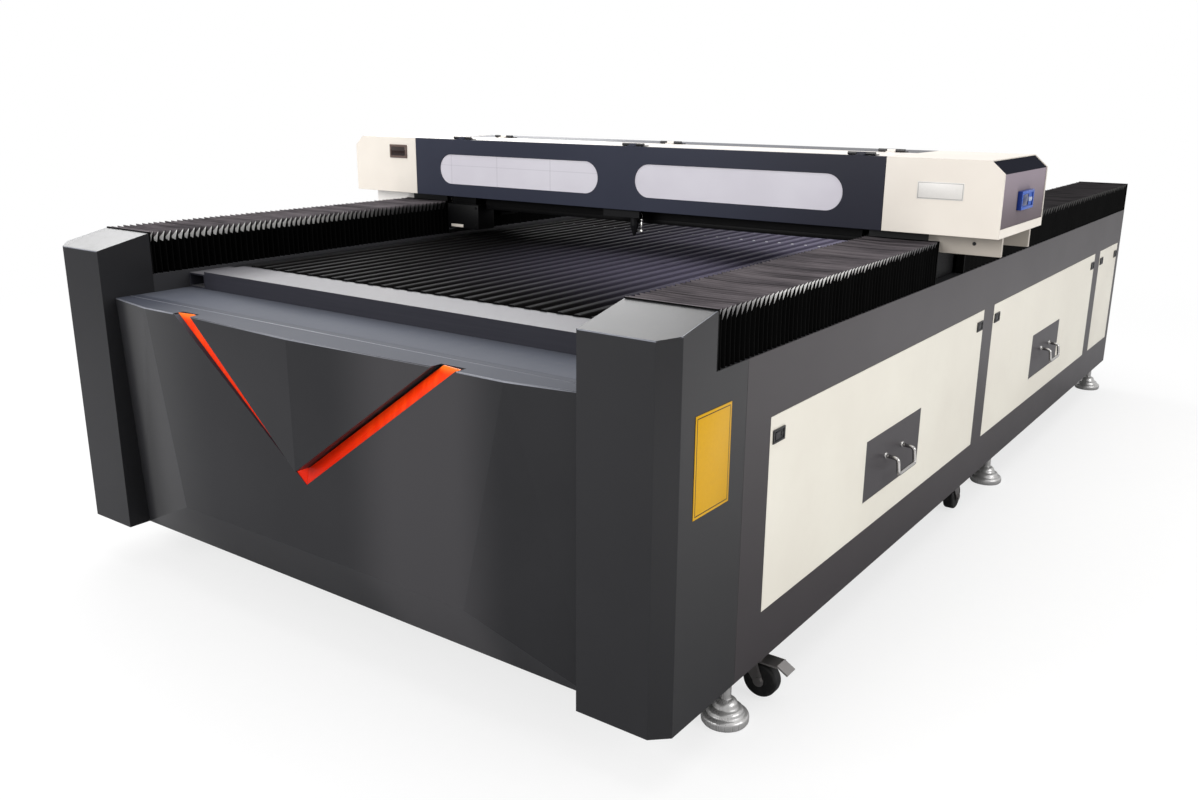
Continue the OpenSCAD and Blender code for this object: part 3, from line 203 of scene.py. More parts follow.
lamp("ceiling_lamp", place=(0.0, 0.2, 5.2), towards=(0, 0, 0), wide=6.0, deep=6.0, watts=150)
lamp("right_lamp", place=(5.2, -0.6, 2.6), towards=(0.5, 0.0, 0.5), wide=3.5, deep=2.2, watts=94)
lamp("left_front_lamp", place=(-1.4, -6.3, 2.7), towards=(0.0, -1.2, 0.8), wide=3.4, deep=2.4, watts=214)
lamp("left_lamp", place=(-3.85, 1.3, 3.25), towards=(0, -1.5, 0.8), wide=4.5, deep=2.4, watts=140)


# Body paint: dark grey powder coat on folded sheet steel, satin, with a fine orange peel, faint cloudy
# patches and a little dust on what faces up. Folds and sheet edges carry thin beads in light grey, a painted
# highlight.
def srgb(red, green, blue):
    shares = [v / 255 for v in (red, green, blue)]
    return (*[v / 12.92 if v < 0.04045 else ((v + 0.055) / 1.055) ** 2.4 for v in shares], 1)


def shaded(colour, share):
    return tuple(v * share for v in colour[:3]) + (1,)


def finish(name, recipe, **constants):
    material = bpy.data.materials.new(name)
    material.use_nodes = True
    tree = material.node_tree
    shader = tree.nodes["Principled BSDF"]
    for socket, value in constants.items():
        shader.inputs[socket.replace("_", " ")].default_value = value
    place = Shade(tree, tree.nodes.new("ShaderNodeTexCoord").outputs["Object"])
    for socket, value in recipe(place).items():
        tree.links.new(value.socket, shader.inputs[socket])
    return material


def dress(material, *names):
    for name in names:
        for slot in nodes[name].material_slots:
            slot.material = material


def clouds(place):
    return place.noise(2.3, 4.0).step(0.30, 0.70)


def orange_peel(place):
    return place.noise(750.0, 2.0)


def powder_coat(name, colour, rough, **constants):
    def recipe(place):
        peel = orange_peel(place)
        dust = place.facing(2).step(0.6, 1.0) * place.noise(55.0, 5.0).step(0.45, 0.8)
        coat = clouds(place).mix(shaded(colour, 0.93), shaded(colour, 1.06))
        coat = (dust * 0.06).mix(coat, (0.30, 0.29, 0.27, 1))
        return {
            "Base Color": coat,
            "Roughness": rough + 0.06 * place.noise(6.0, 5.0) + 0.05 * dust + 0.03 * peel,
            "Normal": place.bump(peel, 0.05, 0.0016)}

    return finish(name, recipe, **constants)


dress(powder_coat("skin_coat", srgb(42, 37, 40), 0.27, Specular_IOR_Level=0.42),
      "right_skin", "left_skin", "rear_panel")
dress(powder_coat("post_coat", srgb(33, 33, 35), 0.27, Specular_IOR_Level=0.32), "right_post", "left_post")


# Front panel and vee insert: lighter bands on the left and right facets are painted light from the left
# front, and the tops are painted a lighter bluish grey as a painted reflection of the sky.
def front_recipe(place):
    top = place.facing(2).step(0.6, 0.9)
    across = place.part(0)
    left_sheen = (0 - across).step(0.30, 0.64) * (across + 1).step(0.31, 0.36)
    right_sheen = across.step(0.10, 0.28) * (1 - across.step(0.42, 0.55))
    coat = clouds(place).mix(srgb(35, 35, 37), srgb(39, 39, 41))
    coat = left_sheen.mix(coat, srgb(62, 62, 63))
    coat = right_sheen.mix(coat, srgb(56, 55, 57))
    return {
        "Base Color": top.mix(coat, srgb(60, 63, 73)),
        "Roughness": 0.28 + 0.34 * top + 0.06 * place.noise(6.0, 5.0),
        "Normal": place.bump(orange_peel(place), 0.05, 0.0016)}


dress(finish("front_coat", front_recipe, Specular_IOR_Level=0.20), "front_panel", "vee_insert")
dress(powder_coat("frame_coat", srgb(46, 46, 49), 0.45, Specular_IOR_Level=0.3), "base_frame")
dress(powder_coat("ledge_coat", srgb(84, 87, 96), 0.55, Specular_IOR_Level=0.05), "front_ledge")


class Solid:
    # shapes gathered into one mesh, in the shared frame
    def __init__(self):
        self.shape = bmesh.new()

    def slab(self, low, high, soft=0.0, tip=None):
        made = bmesh.ops.create_cube(self.shape, size=1.0)["verts"]
        middle, size = (Vector(low) + Vector(high)) / 2, Vector(high) - Vector(low)
        for vertex in made:
            vertex.co = middle + Vector([a * b for a, b in zip(vertex.co, size)])
        if tip:
            bmesh.ops.rotate(self.shape, verts=made, cent=middle, matrix=tip)
        if soft:
            edges = list(dict.fromkeys(edge for vertex in made for edge in vertex.link_edges))
            bmesh.ops.bevel(self.shape, geom=edges, offset=soft, segments=2, profile=0.5, affect="EDGES")

    def skin(self, rings):
        for near, far in zip(rings, rings[1:]):
            for k in range(max(len(near), len(far))):
                corners = (near[k % len(near)], near[(k + 1) % len(near)],
                           far[(k + 1) % len(far)], far[k % len(far)])
                self.shape.faces.new(list(dict.fromkeys(corners)))

    def ring(self, centre, along, radius, around):
        across = along.cross(Vector((0.31, 0.52, 0.79))).normalized()
        other = along.cross(across)
        turns = [2 * math.pi * k / around for k in range(around if radius else 1)]
        spokes = [across * math.cos(turn) + other * math.sin(turn) for turn in turns]
        return [self.shape.verts.new(centre + spoke * radius) for spoke in spokes]

    def turned(self, place, along, profile, around=20):
        along = Vector(along)
        self.skin([self.ring(Vector(place) + along * far, along, radius, around) for radius, far in profile])

    def bead(self, points, radius, around=8):
        points, rings = [Vector(point) for point in points], []
        for i, point in enumerate(points):
            along = (points[min(i + 1, len(points) - 1)] - points[max(i - 1, 0)]).normalized()
            rings.append(self.ring(point, along, radius, around))
        self.skin(rings)
        self.shape.faces.new(rings[0][::-1])
        self.shape.faces.new(rings[-1])

    def screw(self, place, along, radius):
        tall, socket, deep = 0.45 * radius, 0.42 * radius, 0.36 * radius
        self.turned(place, along, [(radius, 0), (radius, 0.5 * tall), (0.8 * radius, tall), (socket, tall),
                                   (deep, 0.4 * tall), (0, 0.4 * tall)], 16)

    def made(self, name, body, material, slot=None):
        for face in self.shape.faces:
            face.smooth = True
        for edge in self.shape.edges:
            edge.smooth = len(edge.link_faces) == 2 and edge.calc_face_angle(4.0) < 0.6
        mesh = bpy.data.meshes.new(name)
        self.shape.to_mesh(mesh)
        self.shape.free()
        mesh.materials.append(material)
        piece = bpy.data.objects.new(name, mesh)
        bpy.context.scene.collection.objects.link(piece)
        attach(piece, body)
        return piece


panel_low, panel_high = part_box("front_panel")
fold_z, fold_x, vee_x = panel_high[2] - 0.0014, 0.549, 0.437
corner_y, field_y, seam_y = -1.7278, -1.7538, -1.6900
post_low, post_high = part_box("right_post")
post_front, post_side = post_low[1] + 0.0012, post_high[0] - 0.0015
chamfer_x, chamfer_y = 0.031, 0.029
front_z, side_z, rear_z, rear_y = 0.8208, 0.8272, 0.8505, -1.6260
insert_low, insert_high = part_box("vee_insert")
insert_x, insert_y, insert_z = insert_high[0] - 0.003, -1.7526, 0.7034
fold_glint, post_glint, seam_glint = 0.0018, 0.0016, 0.0013
# thin round beads over the folds and edges, painted light grey as a painted highlight of the lamps
edges = Solid()
for side in (-1, 1):
    edges.bead([(side * (panel_high[0] - 0.002), corner_y, fold_z), (side * fold_x, field_y, fold_z),
                (side * vee_x, field_y, fold_z)], fold_glint)
    edges.bead([(side * (post_low[0] + 0.002), post_front, front_z),
                (side * (post_side - chamfer_x), post_front, front_z),
                (side * post_side, post_front + chamfer_y, side_z), (side * post_side, rear_y, rear_z)],
               post_glint)
edges.bead([(-insert_x, insert_y, insert_z), (0, insert_low[1] + 0.0014, insert_high[2] - 0.0016),
            (insert_x, insert_y, insert_z)], fold_glint)
seam_x, seam_z = panel_high[0] - 0.001, panel_high[2] - 0.0007
edges.bead([(-seam_x, seam_y, seam_z), (seam_x, seam_y, seam_z)], seam_glint)
edges.made("edge_highlight_beads", "base", powder_coat("edge_highlight_coat", srgb(128, 130, 138), 0.26,
                                               Specular_IOR_Level=0.3), "body_paint")


def screw_rows(box, count, end_gap, foot_gap, head_gap, radius):
    low, high = box
    rows = Solid()
    for k in range(count):
        x = low[0] + end_gap + (high[0] - low[0] - 2 * end_gap) * k / (count - 1)
        for z in (low[2] + foot_gap, high[2] - head_gap):
            rows.screw((x, high[1], z), (0, 1, 0), radius)
    return rows


black_screw = powder_coat("black_screw", srgb(30, 30, 32), 0.35)
rear_screws = screw_rows(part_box("rear_panel"), count=9, end_gap=0.03, foot_gap=0.014, head_gap=0.014,
                         radius=0.0055)
rear_screws.made("rear_screws", "base", black_screw, "body_paint")


# Inner sheets of the body: a dark sheet tacked on the lower tubes closes it below the bed and the drawers,
# and a small one fixed to the back of the vee insert closes the slits beside the strips.
frame_low, frame_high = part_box("base_frame")
sheet_x, sheet_front, sheet_rear = frame_high[0] - 0.002, frame_low[1] + 0.002, frame_high[1] - 0.011
sheet_low = panel_low[2] + 0.0003
sheet_high = sheet_low + 0.0013
post_bend = post_high[0] - 0.034
# The sheets close the body, and their dark coat also stands in for the shade inside it, keeping the gaps
# between the slats and the slits beside the strips dark.
pan = Solid()
pan.slab((-sheet_x, sheet_front, sheet_low), (sheet_x, sheet_rear, sheet_high))
for front, inner, outer in ((post_low[1] + 0.005, post_low[0] + 0.002, post_bend),
                            (post_low[1] + 0.032, post_bend, post_high[0] - 0.005)):
    pan.slab((inner, front, sheet_low), (outer, sheet_front, sheet_high))
    pan.slab((-outer, front, sheet_low), (-inner, sheet_front, sheet_high))
floor_coat = powder_coat("floor_sheet_coat", srgb(26, 26, 27), 0.5, Specular_IOR_Level=0.1)
pan.made("floor_sheet", "base", floor_coat, "frame_paint")
shield_x, shield_low, shield_t = 0.450, 0.375, 0.0014
shield = Solid()
shield.slab((-shield_x, insert_high[1], shield_low),
            (shield_x, insert_high[1] + shield_t, panel_high[2] - 0.003))
shield.made("vee_backing", "base", floor_coat, "frame_paint")

# Plate on the right post: thin sheet in yellow enamel with a thin dark frame line,
# cut to a plain rectangle and pressed on with adhesive.
plate_y, plate_z, plate_half_y, plate_half_z, plate_t = -1.627, 0.596, 0.060, 0.091, 0.0010


def yellow_recipe(place):
    inset = (plate_half_y - abs(place.part(1) - plate_y)).least(plate_half_z - abs(place.part(2) - plate_z))
    line = (inset > 0.0045) * (inset < 0.0065)
    grain = place.noise(180.0, 4.0)
    return {
        "Base Color": line.mix(grain.mix(srgb(200, 150, 8), srgb(212, 162, 16)), srgb(70, 56, 26)),
        "Roughness": 0.26 + 0.12 * grain,
        "Normal": place.bump(grain, 0.05)}


plate = Solid()
plate.slab((post_high[0] + 0.0001, plate_y - plate_half_y, plate_z - plate_half_z),
           (post_high[0] + plate_t, plate_y + plate_half_y, plate_z + plate_half_z), 0.0003)
plate.made("yellow_plate", "base", finish("yellow_enamel", yellow_recipe, Specular_IOR_Level=0.2))


# Vee strips: two bright red-orange strips of glossy acrylic laid in the groove of the front panel,
# painted darker towards the point of the vee as painted shade in the groove, with a painted highlight at the
# top bend.
def strip_recipe(place):
    streak = place.stretched((1, 1, 0.2)).noise(60.0, 3.0).step(0.35, 0.7)
    bright = streak.mix(srgb(232, 50, 6), srgb(246, 68, 10))
    # darker red lower down: painted shade in the groove towards the vee point
    colour = place.part(2).step(0.40, 0.72).mix(srgb(196, 30, 4), bright)
    # painted highlight along the bend at the top end of each strip
    tip = place.part(2).step(0.688, 0.708)
    return {
        "Base Color": tip.mix(colour, srgb(255, 120, 40)),
        "Roughness": 0.18 + 0.10 * place.noise(40.0, 4.0),
        "Normal": place.bump(place.noise(120.0, 2.0), 0.06, 0.0006)}


dress(finish("red_strip", strip_recipe, Specular_IOR_Level=0.12), "vee_strips")


# Bed frame: aluminium extrusions, bare on top, the front beam's front face dark grey and partly a painted
# reflection of the dark parts before it, the beams behind it near black. The slats between them are dark
# oxidised steel with burnt patches where the beam has passed, each held by one screw.
def brushed(name, colour, along, rough, stain, **constants):
    def recipe(place):
        grain = place.stretched(along).noise(260.0, 3.0, 0.7)
        smoke = place.noise(3.1, 6.0).step(0.42, 0.72)
        return {
            "Base Color": (smoke * 0.6).mix(grain.mix(shaded(colour, 0.90), shaded(colour, 1.06)), stain),
            "Roughness": rough + 0.12 * grain + 0.14 * smoke,
            "Normal": place.bump(grain, 0.06, 0.0008)}

    return finish(name, recipe, **constants)


beam_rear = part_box("bed_frame")[0][1] + 0.12


def beam_recipe(place):
    grain = place.stretched((0.02, 1, 1)).noise(260.0, 3.0, 0.7)
    behind = place.part(1).step(beam_rear - 0.01, beam_rear + 0.01)
    top = place.facing(2).step(0.5, 0.8) * (1 - behind)
    bare = grain.mix(srgb(96, 95, 99), srgb(110, 109, 113))
    # side faces dark grey, partly a painted reflection of the dark parts before them; the beams behind near
    # black
    side = behind.mix(grain.mix(srgb(40, 40, 47), srgb(50, 50, 57)), srgb(26, 26, 27))
    return {
        "Base Color": top.mix(side, bare),
        "Roughness": 0.34 + 0.12 * grain,
        "Normal": place.bump(grain, 0.06, 0.0008)}


dress(finish("bed_aluminium", beam_recipe, Specular_IOR_Level=0.2), "bed_frame")


def slat_recipe(place):
    grain = place.stretched((1, 0.015, 1)).noise(420.0, 4.0, 0.7)
    burn = place.stretched((1, 0.5, 1)).noise(7.0, 7.0, 0.62).step(0.40, 0.72)
    # painted sheen: the steel painted lighter and bluish towards the right rear
    painted_sheen = place.part(1).step(-1.35, -0.50) * place.part(0).step(-0.45, 0.65)
    # slat sides painted lighter than the tops as painted light in the shaded gaps
    side = abs(place.facing(0)).step(0.4, 0.8)
    soot = burn.mix(grain.mix(srgb(13, 13, 14), srgb(17, 17, 18)), srgb(11, 11, 11))
    # near the front the sides are painted lighter than the sooty tops, as painted light
    worn = side.mix(soot, srgb(20, 19, 19))
    steel = side.mix(grain.mix(srgb(96, 92, 110), srgb(110, 106, 125)), srgb(122, 117, 138))
    return {
        "Base Color": painted_sheen.mix(worn, steel),
        "Roughness": 0.50 + 0.10 * grain + 0.12 * burn,
        "Normal": place.bump(grain, 0.10, 0.0006)}


dress(finish("slat_steel", slat_recipe, Specular_IOR_Level=0.025), "knife_slats")


# screw heads painted bright on the right as a painted highlight and dark on the left as painted shade
def screw_recipe(place):
    grain = place.noise(400.0, 3.0)
    bright = grain.mix(srgb(190, 190, 194), srgb(220, 220, 224))
    return {
        "Base Color": place.part(0).step(-0.05, 0.2).mix(srgb(34, 33, 33), bright),
        "Roughness": 0.30 + 0.15 * grain}


slat_top, slat_count, slat_pitch, screw_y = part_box("knife_slats")[1][2], 29, 0.044, -0.125
slat_screws = Solid()
for k in range(slat_count):
    slat_screws.screw(((k - (slat_count - 1) / 2) * slat_pitch, screw_y, slat_top), (0, 0, 1), 0.004)
slat_screws.made("slat_screws", "base", finish("screw_steel", screw_recipe), "slat_steel")

# Guides: ground steel rails with bright running faces, bolted along the side beams and the gantry beam,
# and fibre-filled rubber belts with fine teeth, clamped to what they pull.
for rail, steel, along in (("y_rails", "rail_steel", (1, 0.02, 1)),
                           ("x_rail", "cross_rail_steel", (0.02, 1, 1))):
    dress(brushed(steel, srgb(196, 197, 200), along, 0.16, srgb(120, 118, 116), Metallic=1.0), rail)
belt_pitch = 0.005


def belt_recipe(axis):
    def recipe(place):
        tooth = (place.part(axis) * (2 * math.pi / belt_pitch)).wave()
        fibre = place.noise(600.0, 3.0)
        return {
            "Base Color": fibre.mix(srgb(24, 24, 26), srgb(38, 38, 40)),
            "Roughness": 0.55 + 0.15 * fibre,
            "Normal": place.bump(tooth * 0.5 + fibre * 0.2, 0.5)}

    return recipe


dress(finish("long_belt", belt_recipe(1)), "y_belts")
dress(finish("cross_belt", belt_recipe(0)), "x_belt")


# Bellows: coated black cloth folded into sharp pleats over a stiffener in each fold, mitred at the corners
# and glued to a plate at each end; a pale triangle at the top of each corner fold is a painted highlight of
# the light falling into the pleats. One end is screwed to the body, the other to the gantry.
def bellows_recipe(place):
    weave = place.noise(900.0, 2.0)
    worn = place.stretched((0.25, 1, 0.4)).noise(24.0, 5.0).step(0.30, 0.75)
    dust = place.facing(2).step(0.06, 0.30) * (1 - 0.82 * place.part(1).step(-0.50, -0.34))
    line = place.stretched((0.012, 1, 0.012)).noise(190.0, 3.0).step(0.50, 0.66)
    dusty = (0.7 * line).mix(worn.mix(srgb(98, 92, 95), srgb(64, 60, 63)), srgb(36, 33, 35))
    return {
        "Base Color": dust.mix(weave.mix(srgb(3, 3, 3), srgb(6, 6, 6)), dusty),
        "Roughness": 0.50 + 0.12 * worn + 0.05 * weave,
        "Normal": place.bump(weave, 0.10)}


# Painted highlight: the pale triangles where light falls into the top of each corner fold, dimmer near the
# front of the right bellows and further back, with painted shade on the left bellows' rear part and on faces
# turned to the left.
def lit_tooth_recipe(place):
    weave = place.noise(900.0, 2.0)
    left, right, along = place.part(0) < 0.0, place.part(0) > 0.0, place.part(1)
    near = right * (1 - along.step(-1.56, -1.36))
    pale = place.noise(40.0, 4.0).mix(srgb(214, 212, 210), srgb(244, 243, 241))
    pale = (0.75 * near).mix(pale, srgb(112, 111, 112))
    pale = along.step(-1.15, -0.66).mix(pale, srgb(104, 103, 104))
    pale = along.step(-0.50, -0.34).mix(pale, srgb(58, 57, 56))
    painted_shade_mask = left * along.step(-1.3, -0.7) * 0.7 + right * (place.facing(0) < 0.0)
    return {
        "Base Color": painted_shade_mask.mix(pale, srgb(30, 29, 29)),
        "Roughness": 0.45 + 0.1 * weave,
        "Normal": place.bump(weave, 0.08)}


bellows_cloth = finish("bellows_cloth", bellows_recipe, Specular_IOR_Level=0.06)
lit_tooth_coat = finish("lit_tooth_coat", lit_tooth_recipe, Specular_IOR_Level=0.3)
folds, leg, end_plate = 62, 0.024, 0.004
crest, blunt, wander, sink, mid_share = 0.0009, 0.0006, 0.0011, 0.0004, 0.38
flank_cells, top_cells, tooth = 5, 8, 0.019
top_sag, flank_bow, tiny = 0.0016, 0.0010, 1e-6
left_corner, right_corner = flank_cells, flank_cells + top_cells + 1


def fold_stations(low, high, front, pitch, depth):
    # seven places along the bellows for each fold, with how deep the cloth lies there
    stations = []
    for i in range(folds):
        valley = front + i * pitch
        at = valley + pitch / 2 + wander * math.sin(7.3 * i + low[0] * 11)
        drop = sink + sink * math.sin(3.7 * i + high[1] * 5)
        reach, fall = mid_share * (at - valley), mid_share * depth
        stations += [(valley - crest, depth - crest), (valley + crest, depth - crest)]
        stations += [(at - reach, drop + fall), (at - crest, drop + blunt), (at, drop)]
        stations += [(at + crest, drop + blunt), (at + reach, drop + fall)]
    return [(front, depth)] + stations[1:] + [(front + folds * pitch, depth)]


def hoop(side, top):
    # the cloth's section: up the left flank, over the top and down the right flank
    flank = [(top - tooth) * k / flank_cells for k in range(flank_cells + 1)]
    over = [(side * (2 * k / top_cells - 1), top) for k in range(top_cells + 1)]
    return [(-side, z) for z in flank] + over + [(side, z) for z in flank[::-1]]


def block(low, high, verts, faces):
    start = len(verts)
    verts += [(x, y, z) for x in (low[0], high[0]) for y in (low[1], high[1]) for z in (low[2], high[2])]
    faces += [tuple(start + i for i in face) for face in
              ((0, 1, 3, 2), (4, 6, 7, 5), (0, 4, 5, 1), (2, 3, 7, 6), (0, 2, 6, 4), (1, 5, 7, 3))]


for name in ("front_right_bellows", "front_left_bellows", "rear_right_bellows", "rear_left_bellows"):
    low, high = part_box(name)
    middle, half = (low[0] + high[0]) / 2, (high[0] - low[0]) / 2
    front, rear = low[1] + end_plate, high[1] - end_plate
    pitch = (rear - front) / folds
    depth = math.sqrt(leg ** 2 - (pitch / 2) ** 2)
    stations = fold_stations(low, high, front, pitch, depth)
    verts, faces, lit_tooth_flags = [], [], []
    for y, inset in stations:
        side, top = half - inset, high[2] - low[2] - inset
        for x, z in hoop(side, top):
            sag = top_sag * max(0.0, 1 - (x / side) ** 2) if z > top - tiny else 0.0
            bow = math.copysign(flank_bow * math.sin(math.pi * min(1.0, z / top)), x)
            verts.append((middle + x - (bow if abs(x) > side - tiny else 0), y, low[2] + z - sag))
    ring = len(verts) // len(stations)
    for j in range(len(stations) - 1):
        for k in range(ring - 1):
            a, b, c, d = j * ring + k, j * ring + k + 1, (j + 1) * ring + k + 1, (j + 1) * ring + k
            cuts = {(left_corner, 1): ((b, c, d), (a, b, d)), (left_corner, 0): ((a, b, c), (a, c, d)),
                    (right_corner, 1): ((a, c, d), (a, b, c)), (right_corner, 0): ((a, b, d), (b, c, d))}
            # half of each corner fold's top face is cut off as a triangle that carries the painted highlight
            half_tooth = {1: 1, 2: 0, 5: 1, 6: 0}.get(j % 7)
            pair = cuts.get((k, half_tooth), ((a, b, c, d),))
            faces += pair
            lit_tooth_flags += [1, 0] if len(pair) == 2 else [0]
    wall = depth + 0.003
    for y in (low[1], high[1] - end_plate):
        for a, b in ((0, wall), (2 * half - wall, 2 * half)):
            block((low[0] + a, y, low[2]), (low[0] + b, y + end_plate, high[2] - wall), verts, faces)
        block((low[0], y, high[2] - wall), (high[0], y + end_plate, high[2]), verts, faces)
    mesh = bpy.data.meshes.new(name.replace("bellows", "pleated_cover"))
    mesh.from_pydata(verts, [], faces)
    mesh.materials.append(bellows_cloth)
    mesh.materials.append(lit_tooth_coat)
    for face, index in zip(mesh.polygons, lit_tooth_flags):
        face.material_index = index
    piece = bpy.data.objects.new(mesh.name, mesh)
    bpy.context.scene.collection.objects.link(piece)
    ends = (front, rear) if name.startswith("front") else (rear, front)
    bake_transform(piece, "base", "gantry", start=(0, ends[0], 0), end=(0, ends[1], 0))
    for vertex, weight in zip(piece.data.vertices, piece.data.attributes["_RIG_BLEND"].data):
        weight.value = min(1.0, max(0.0, (vertex.co.y - ends[0]) / (ends[1] - ends[0])))
    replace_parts(piece, name)

# Side panels: folded steel pans in off-white paint, lifted off for cleaning. Their latches are black
# plastic, clipped through the panel, each with a raised rim, a small paddle and a lock.
side_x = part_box("right_skin")[1][0]


def pan_recipe(place):
    cloud = place.noise(3.0, 4.0).step(0.3, 0.7)
    grime = place.noise(12.0, 6.0).step(0.55, 0.85)
    coat = (grime * 0.10).mix(cloud.mix(srgb(221, 216, 204), srgb(228, 224, 212)), srgb(176, 168, 150))
    latch = abs(place.part(0)) > side_x + 0.0004
    return {
        "Base Color": latch.mix(coat, srgb(30, 30, 32)),
        "Roughness": 0.34 + 0.06 * cloud + 0.08 * grime + 0.12 * latch,
        "Normal": place.bump(orange_peel(place), 0.05, 0.0014)}


def rim_bars(first, last, low, high, wide, tall, lap=0.0):
    # the four bars of a raised rim: upper, lower and the two that stand between them
    foot, head = low + tall - lap, high - tall + lap
    return ((first, last, high - tall, high), (first, last, low, low + tall),
            (first, first + wide, foot, head), (last - wide, last, foot, head))


off_white = finish("off_white_coat", pan_recipe, Specular_IOR_Level=0.35)
latch_plastic = powder_coat("latch_plastic", srgb(26, 26, 28), 0.36)
latch_end, latch_drop = 0.033, 0.0415
rim_half_y, rim_half_z, rim_wide, rim_tall = 0.024, 0.0135, 0.005, 0.004
paddle_front, paddle_rear, paddle_half_z, paddle_tip = 0.016, 0.006, 0.007, 0.05
lock_y = 0.0125
lock_profile = [(0.0042, 0), (0.0042, 0.0013), (0.0034, 0.0018), (0.0012, 0.0018), (0.0009, 0.0010),
                (0, 0.0010)]
for side, hand in ((1, "right"), (-1, "left")):
    rim_x = sorted((side * (side_x + 0.0005), side * (side_x + 0.0032)))
    paddle_x = sorted((side * (side_x + 0.0008), side * (side_x + 0.0028)))
    for place in ("front", "middle", "rear"):
        name = hand + "_" + place + "_panel"
        dress(off_white, name)
        low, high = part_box(name)
        z = high[2] - latch_drop
        latch = Solid()
        for y in (low[1] + latch_end, high[1] - latch_end):
            for first, last, foot, head in rim_bars(y - rim_half_y, y + rim_half_y, z - rim_half_z,
                                                    z + rim_half_z, rim_wide, rim_tall):
                latch.slab((rim_x[0], first, foot), (rim_x[1], last, head), 0.0007)
            latch.slab((paddle_x[0], y - paddle_front, z - paddle_half_z),
                       (paddle_x[1], y + paddle_rear, z + paddle_half_z), 0.0006,
                       Matrix.Rotation(side * paddle_tip, 3, "Z"))
            latch.turned((side * (side_x + 0.001), y + lock_y, z), (side, 0, 0), lock_profile)
        latch.made(name + "_latches", name, latch_plastic, "hinge_black")

# Drawers: flush fronts and trays of the same grey coat, a shade lighter than the body,
# each with a square bow handle bent from bright steel rod, hanging from two collars.
dress(powder_coat("drawer_coat", srgb(58, 55, 58), 0.32, Specular_IOR_Level=0.3),
      "front_drawer", "rear_drawer")
handle_steel = brushed("handle_steel", srgb(190, 188, 186), (1, 0.05, 1), 0.12, srgb(150, 148, 146),
                       Metallic=1.0)


def rounded(points, radius):
    made = [Vector(points[0])]
    for before, corner, after in zip(points, points[1:], points[2:]):
        corner = Vector(corner)
        first = corner + (Vector(before) - corner).normalized() * radius
        last = corner + (Vector(after) - corner).normalized() * radius
        for k in range(6):
            t = k / 5
            made.append(first * (1 - t) ** 2 + corner * 2 * t * (1 - t) + last * t * t)
    return made + [Vector(points[-1])]


rod, bend, collar_in = 0.0046, 0.008, 0.010
collar = [(0.0078, 0), (0.0078, 0.0030), (0.0066, 0.0042), (rod, 0.0046)]
for drawer in ("front_drawer", "rear_drawer"):
    low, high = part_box(drawer + "_handle")
    x, y, z = low[0], (low[1] + high[1]) / 2, (low[2] + high[2]) / 2
    span = (high[1] - low[1]) / 2 - collar_in
    arm = [(x, z), (x + 0.032, z - 0.003), (x + 0.036, z - 0.040)]
    bow = [(a, y - span, b) for a, b in arm] + [(a, y + span, b) for a, b in arm[::-1]]
    handle = Solid()
    handle.bead(rounded(bow, bend), rod, 12)
    for end in (y - span, y + span):
        handle.turned((x + 0.0001, end, z), (1, 0, 0), collar)
    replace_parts(handle.made(drawer + "_bow", drawer, handle_steel, "handle_steel"), drawer + "_handle")

# Feet and casters: turned zinc-plated pads on threaded stems with a lock nut, pressed steel forks
# on plates with four bolts, black rubber wheels on a hub.
zinc = brushed("foot_zinc", srgb(205, 205, 202), (1, 1, 0.03), 0.20, srgb(150, 149, 146), Metallic=1.0)
dress(zinc, "exhaust_spigots")
fork_zinc = brushed("fork_zinc", srgb(150, 147, 146), (1, 1, 0.1), 0.30, srgb(110, 106, 104), Metallic=1.0)
dress(fork_zinc, "front_right_fork", "front_left_fork", "second_right_fork", "second_left_fork")


def tyre_recipe(place):
    scuff = place.noise(90.0, 6.0).step(0.45, 0.8)
    return {
        "Base Color": scuff.mix(srgb(18, 18, 19), srgb(40, 38, 37)),
        "Roughness": 0.42 + 0.25 * scuff,
        "Normal": place.bump(place.noise(500.0, 4.0), 0.2, 0.0008)}


dress(finish("caster_rubber", tyre_recipe, Specular_IOR_Level=0.3), "front_right_wheel", "front_left_wheel",
      "second_right_wheel", "second_left_wheel")
satin_zinc = brushed("satin_zinc", srgb(196, 195, 194), (1, 1, 0.03), 0.22, srgb(168, 167, 165),
                     Metallic=0.6)
foot_x, foot_ys, nut_z = 0.860, (-1.466, 0.238, 1.668), 0.095
pad = -foot_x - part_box("levelling_feet")[0][0]
dome = [(0.0, 0.0), (0.93, 0.0), (0.99, 0.004), (1.0, 0.010), (0.99, 0.0150), (0.95, 0.0185), (0.88, 0.0200),
        (0.81, 0.0206), (0.78, 0.0220), (0.765, 0.0255), (0.74, 0.0290), (0.69, 0.0312), (0.62, 0.0325),
        (0.55, 0.0332), (0.52, 0.0348), (0.505, 0.0400), (0.46, 0.0450), (0.38, 0.0486), (0.27, 0.0505)]
stem, thread, stem_z, half_pitch, flights = 0.0100, 0.0009, 0.0510, 0.00125, 36
foot_profile = [(pad * share, z) for share, z in dome]
foot_profile += [(stem + thread * (k % 2), stem_z + k * half_pitch) for k in range(flights)]
nut_profile = [(stem, 0), (0.0175, 0), (0.0185, 0.0015), (0.0185, 0.0140), (0.0175, 0.0155), (stem, 0.0155)]
feet = Solid()
for x in (-foot_x, foot_x):
    for y in foot_ys:
        feet.turned((x, y, 0.0), (0, 0, 1), foot_profile, 36)
        feet.turned((x, y, nut_z), (0, 0, 1), nut_profile, 6)
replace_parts(feet.made("domed_feet", "base", satin_zinc, "zinc"), "levelling_feet")
caster_x, caster_ys, bolt_x, bolt_y, bolt_z = 0.849, (-1.344, -0.100), 0.020, 0.037, 0.1086
bolt_profile = [(0.0060, 0), (0.0060, 0.0034), (0.0050, 0.0042), (0, 0.0042)]
bolts = Solid()
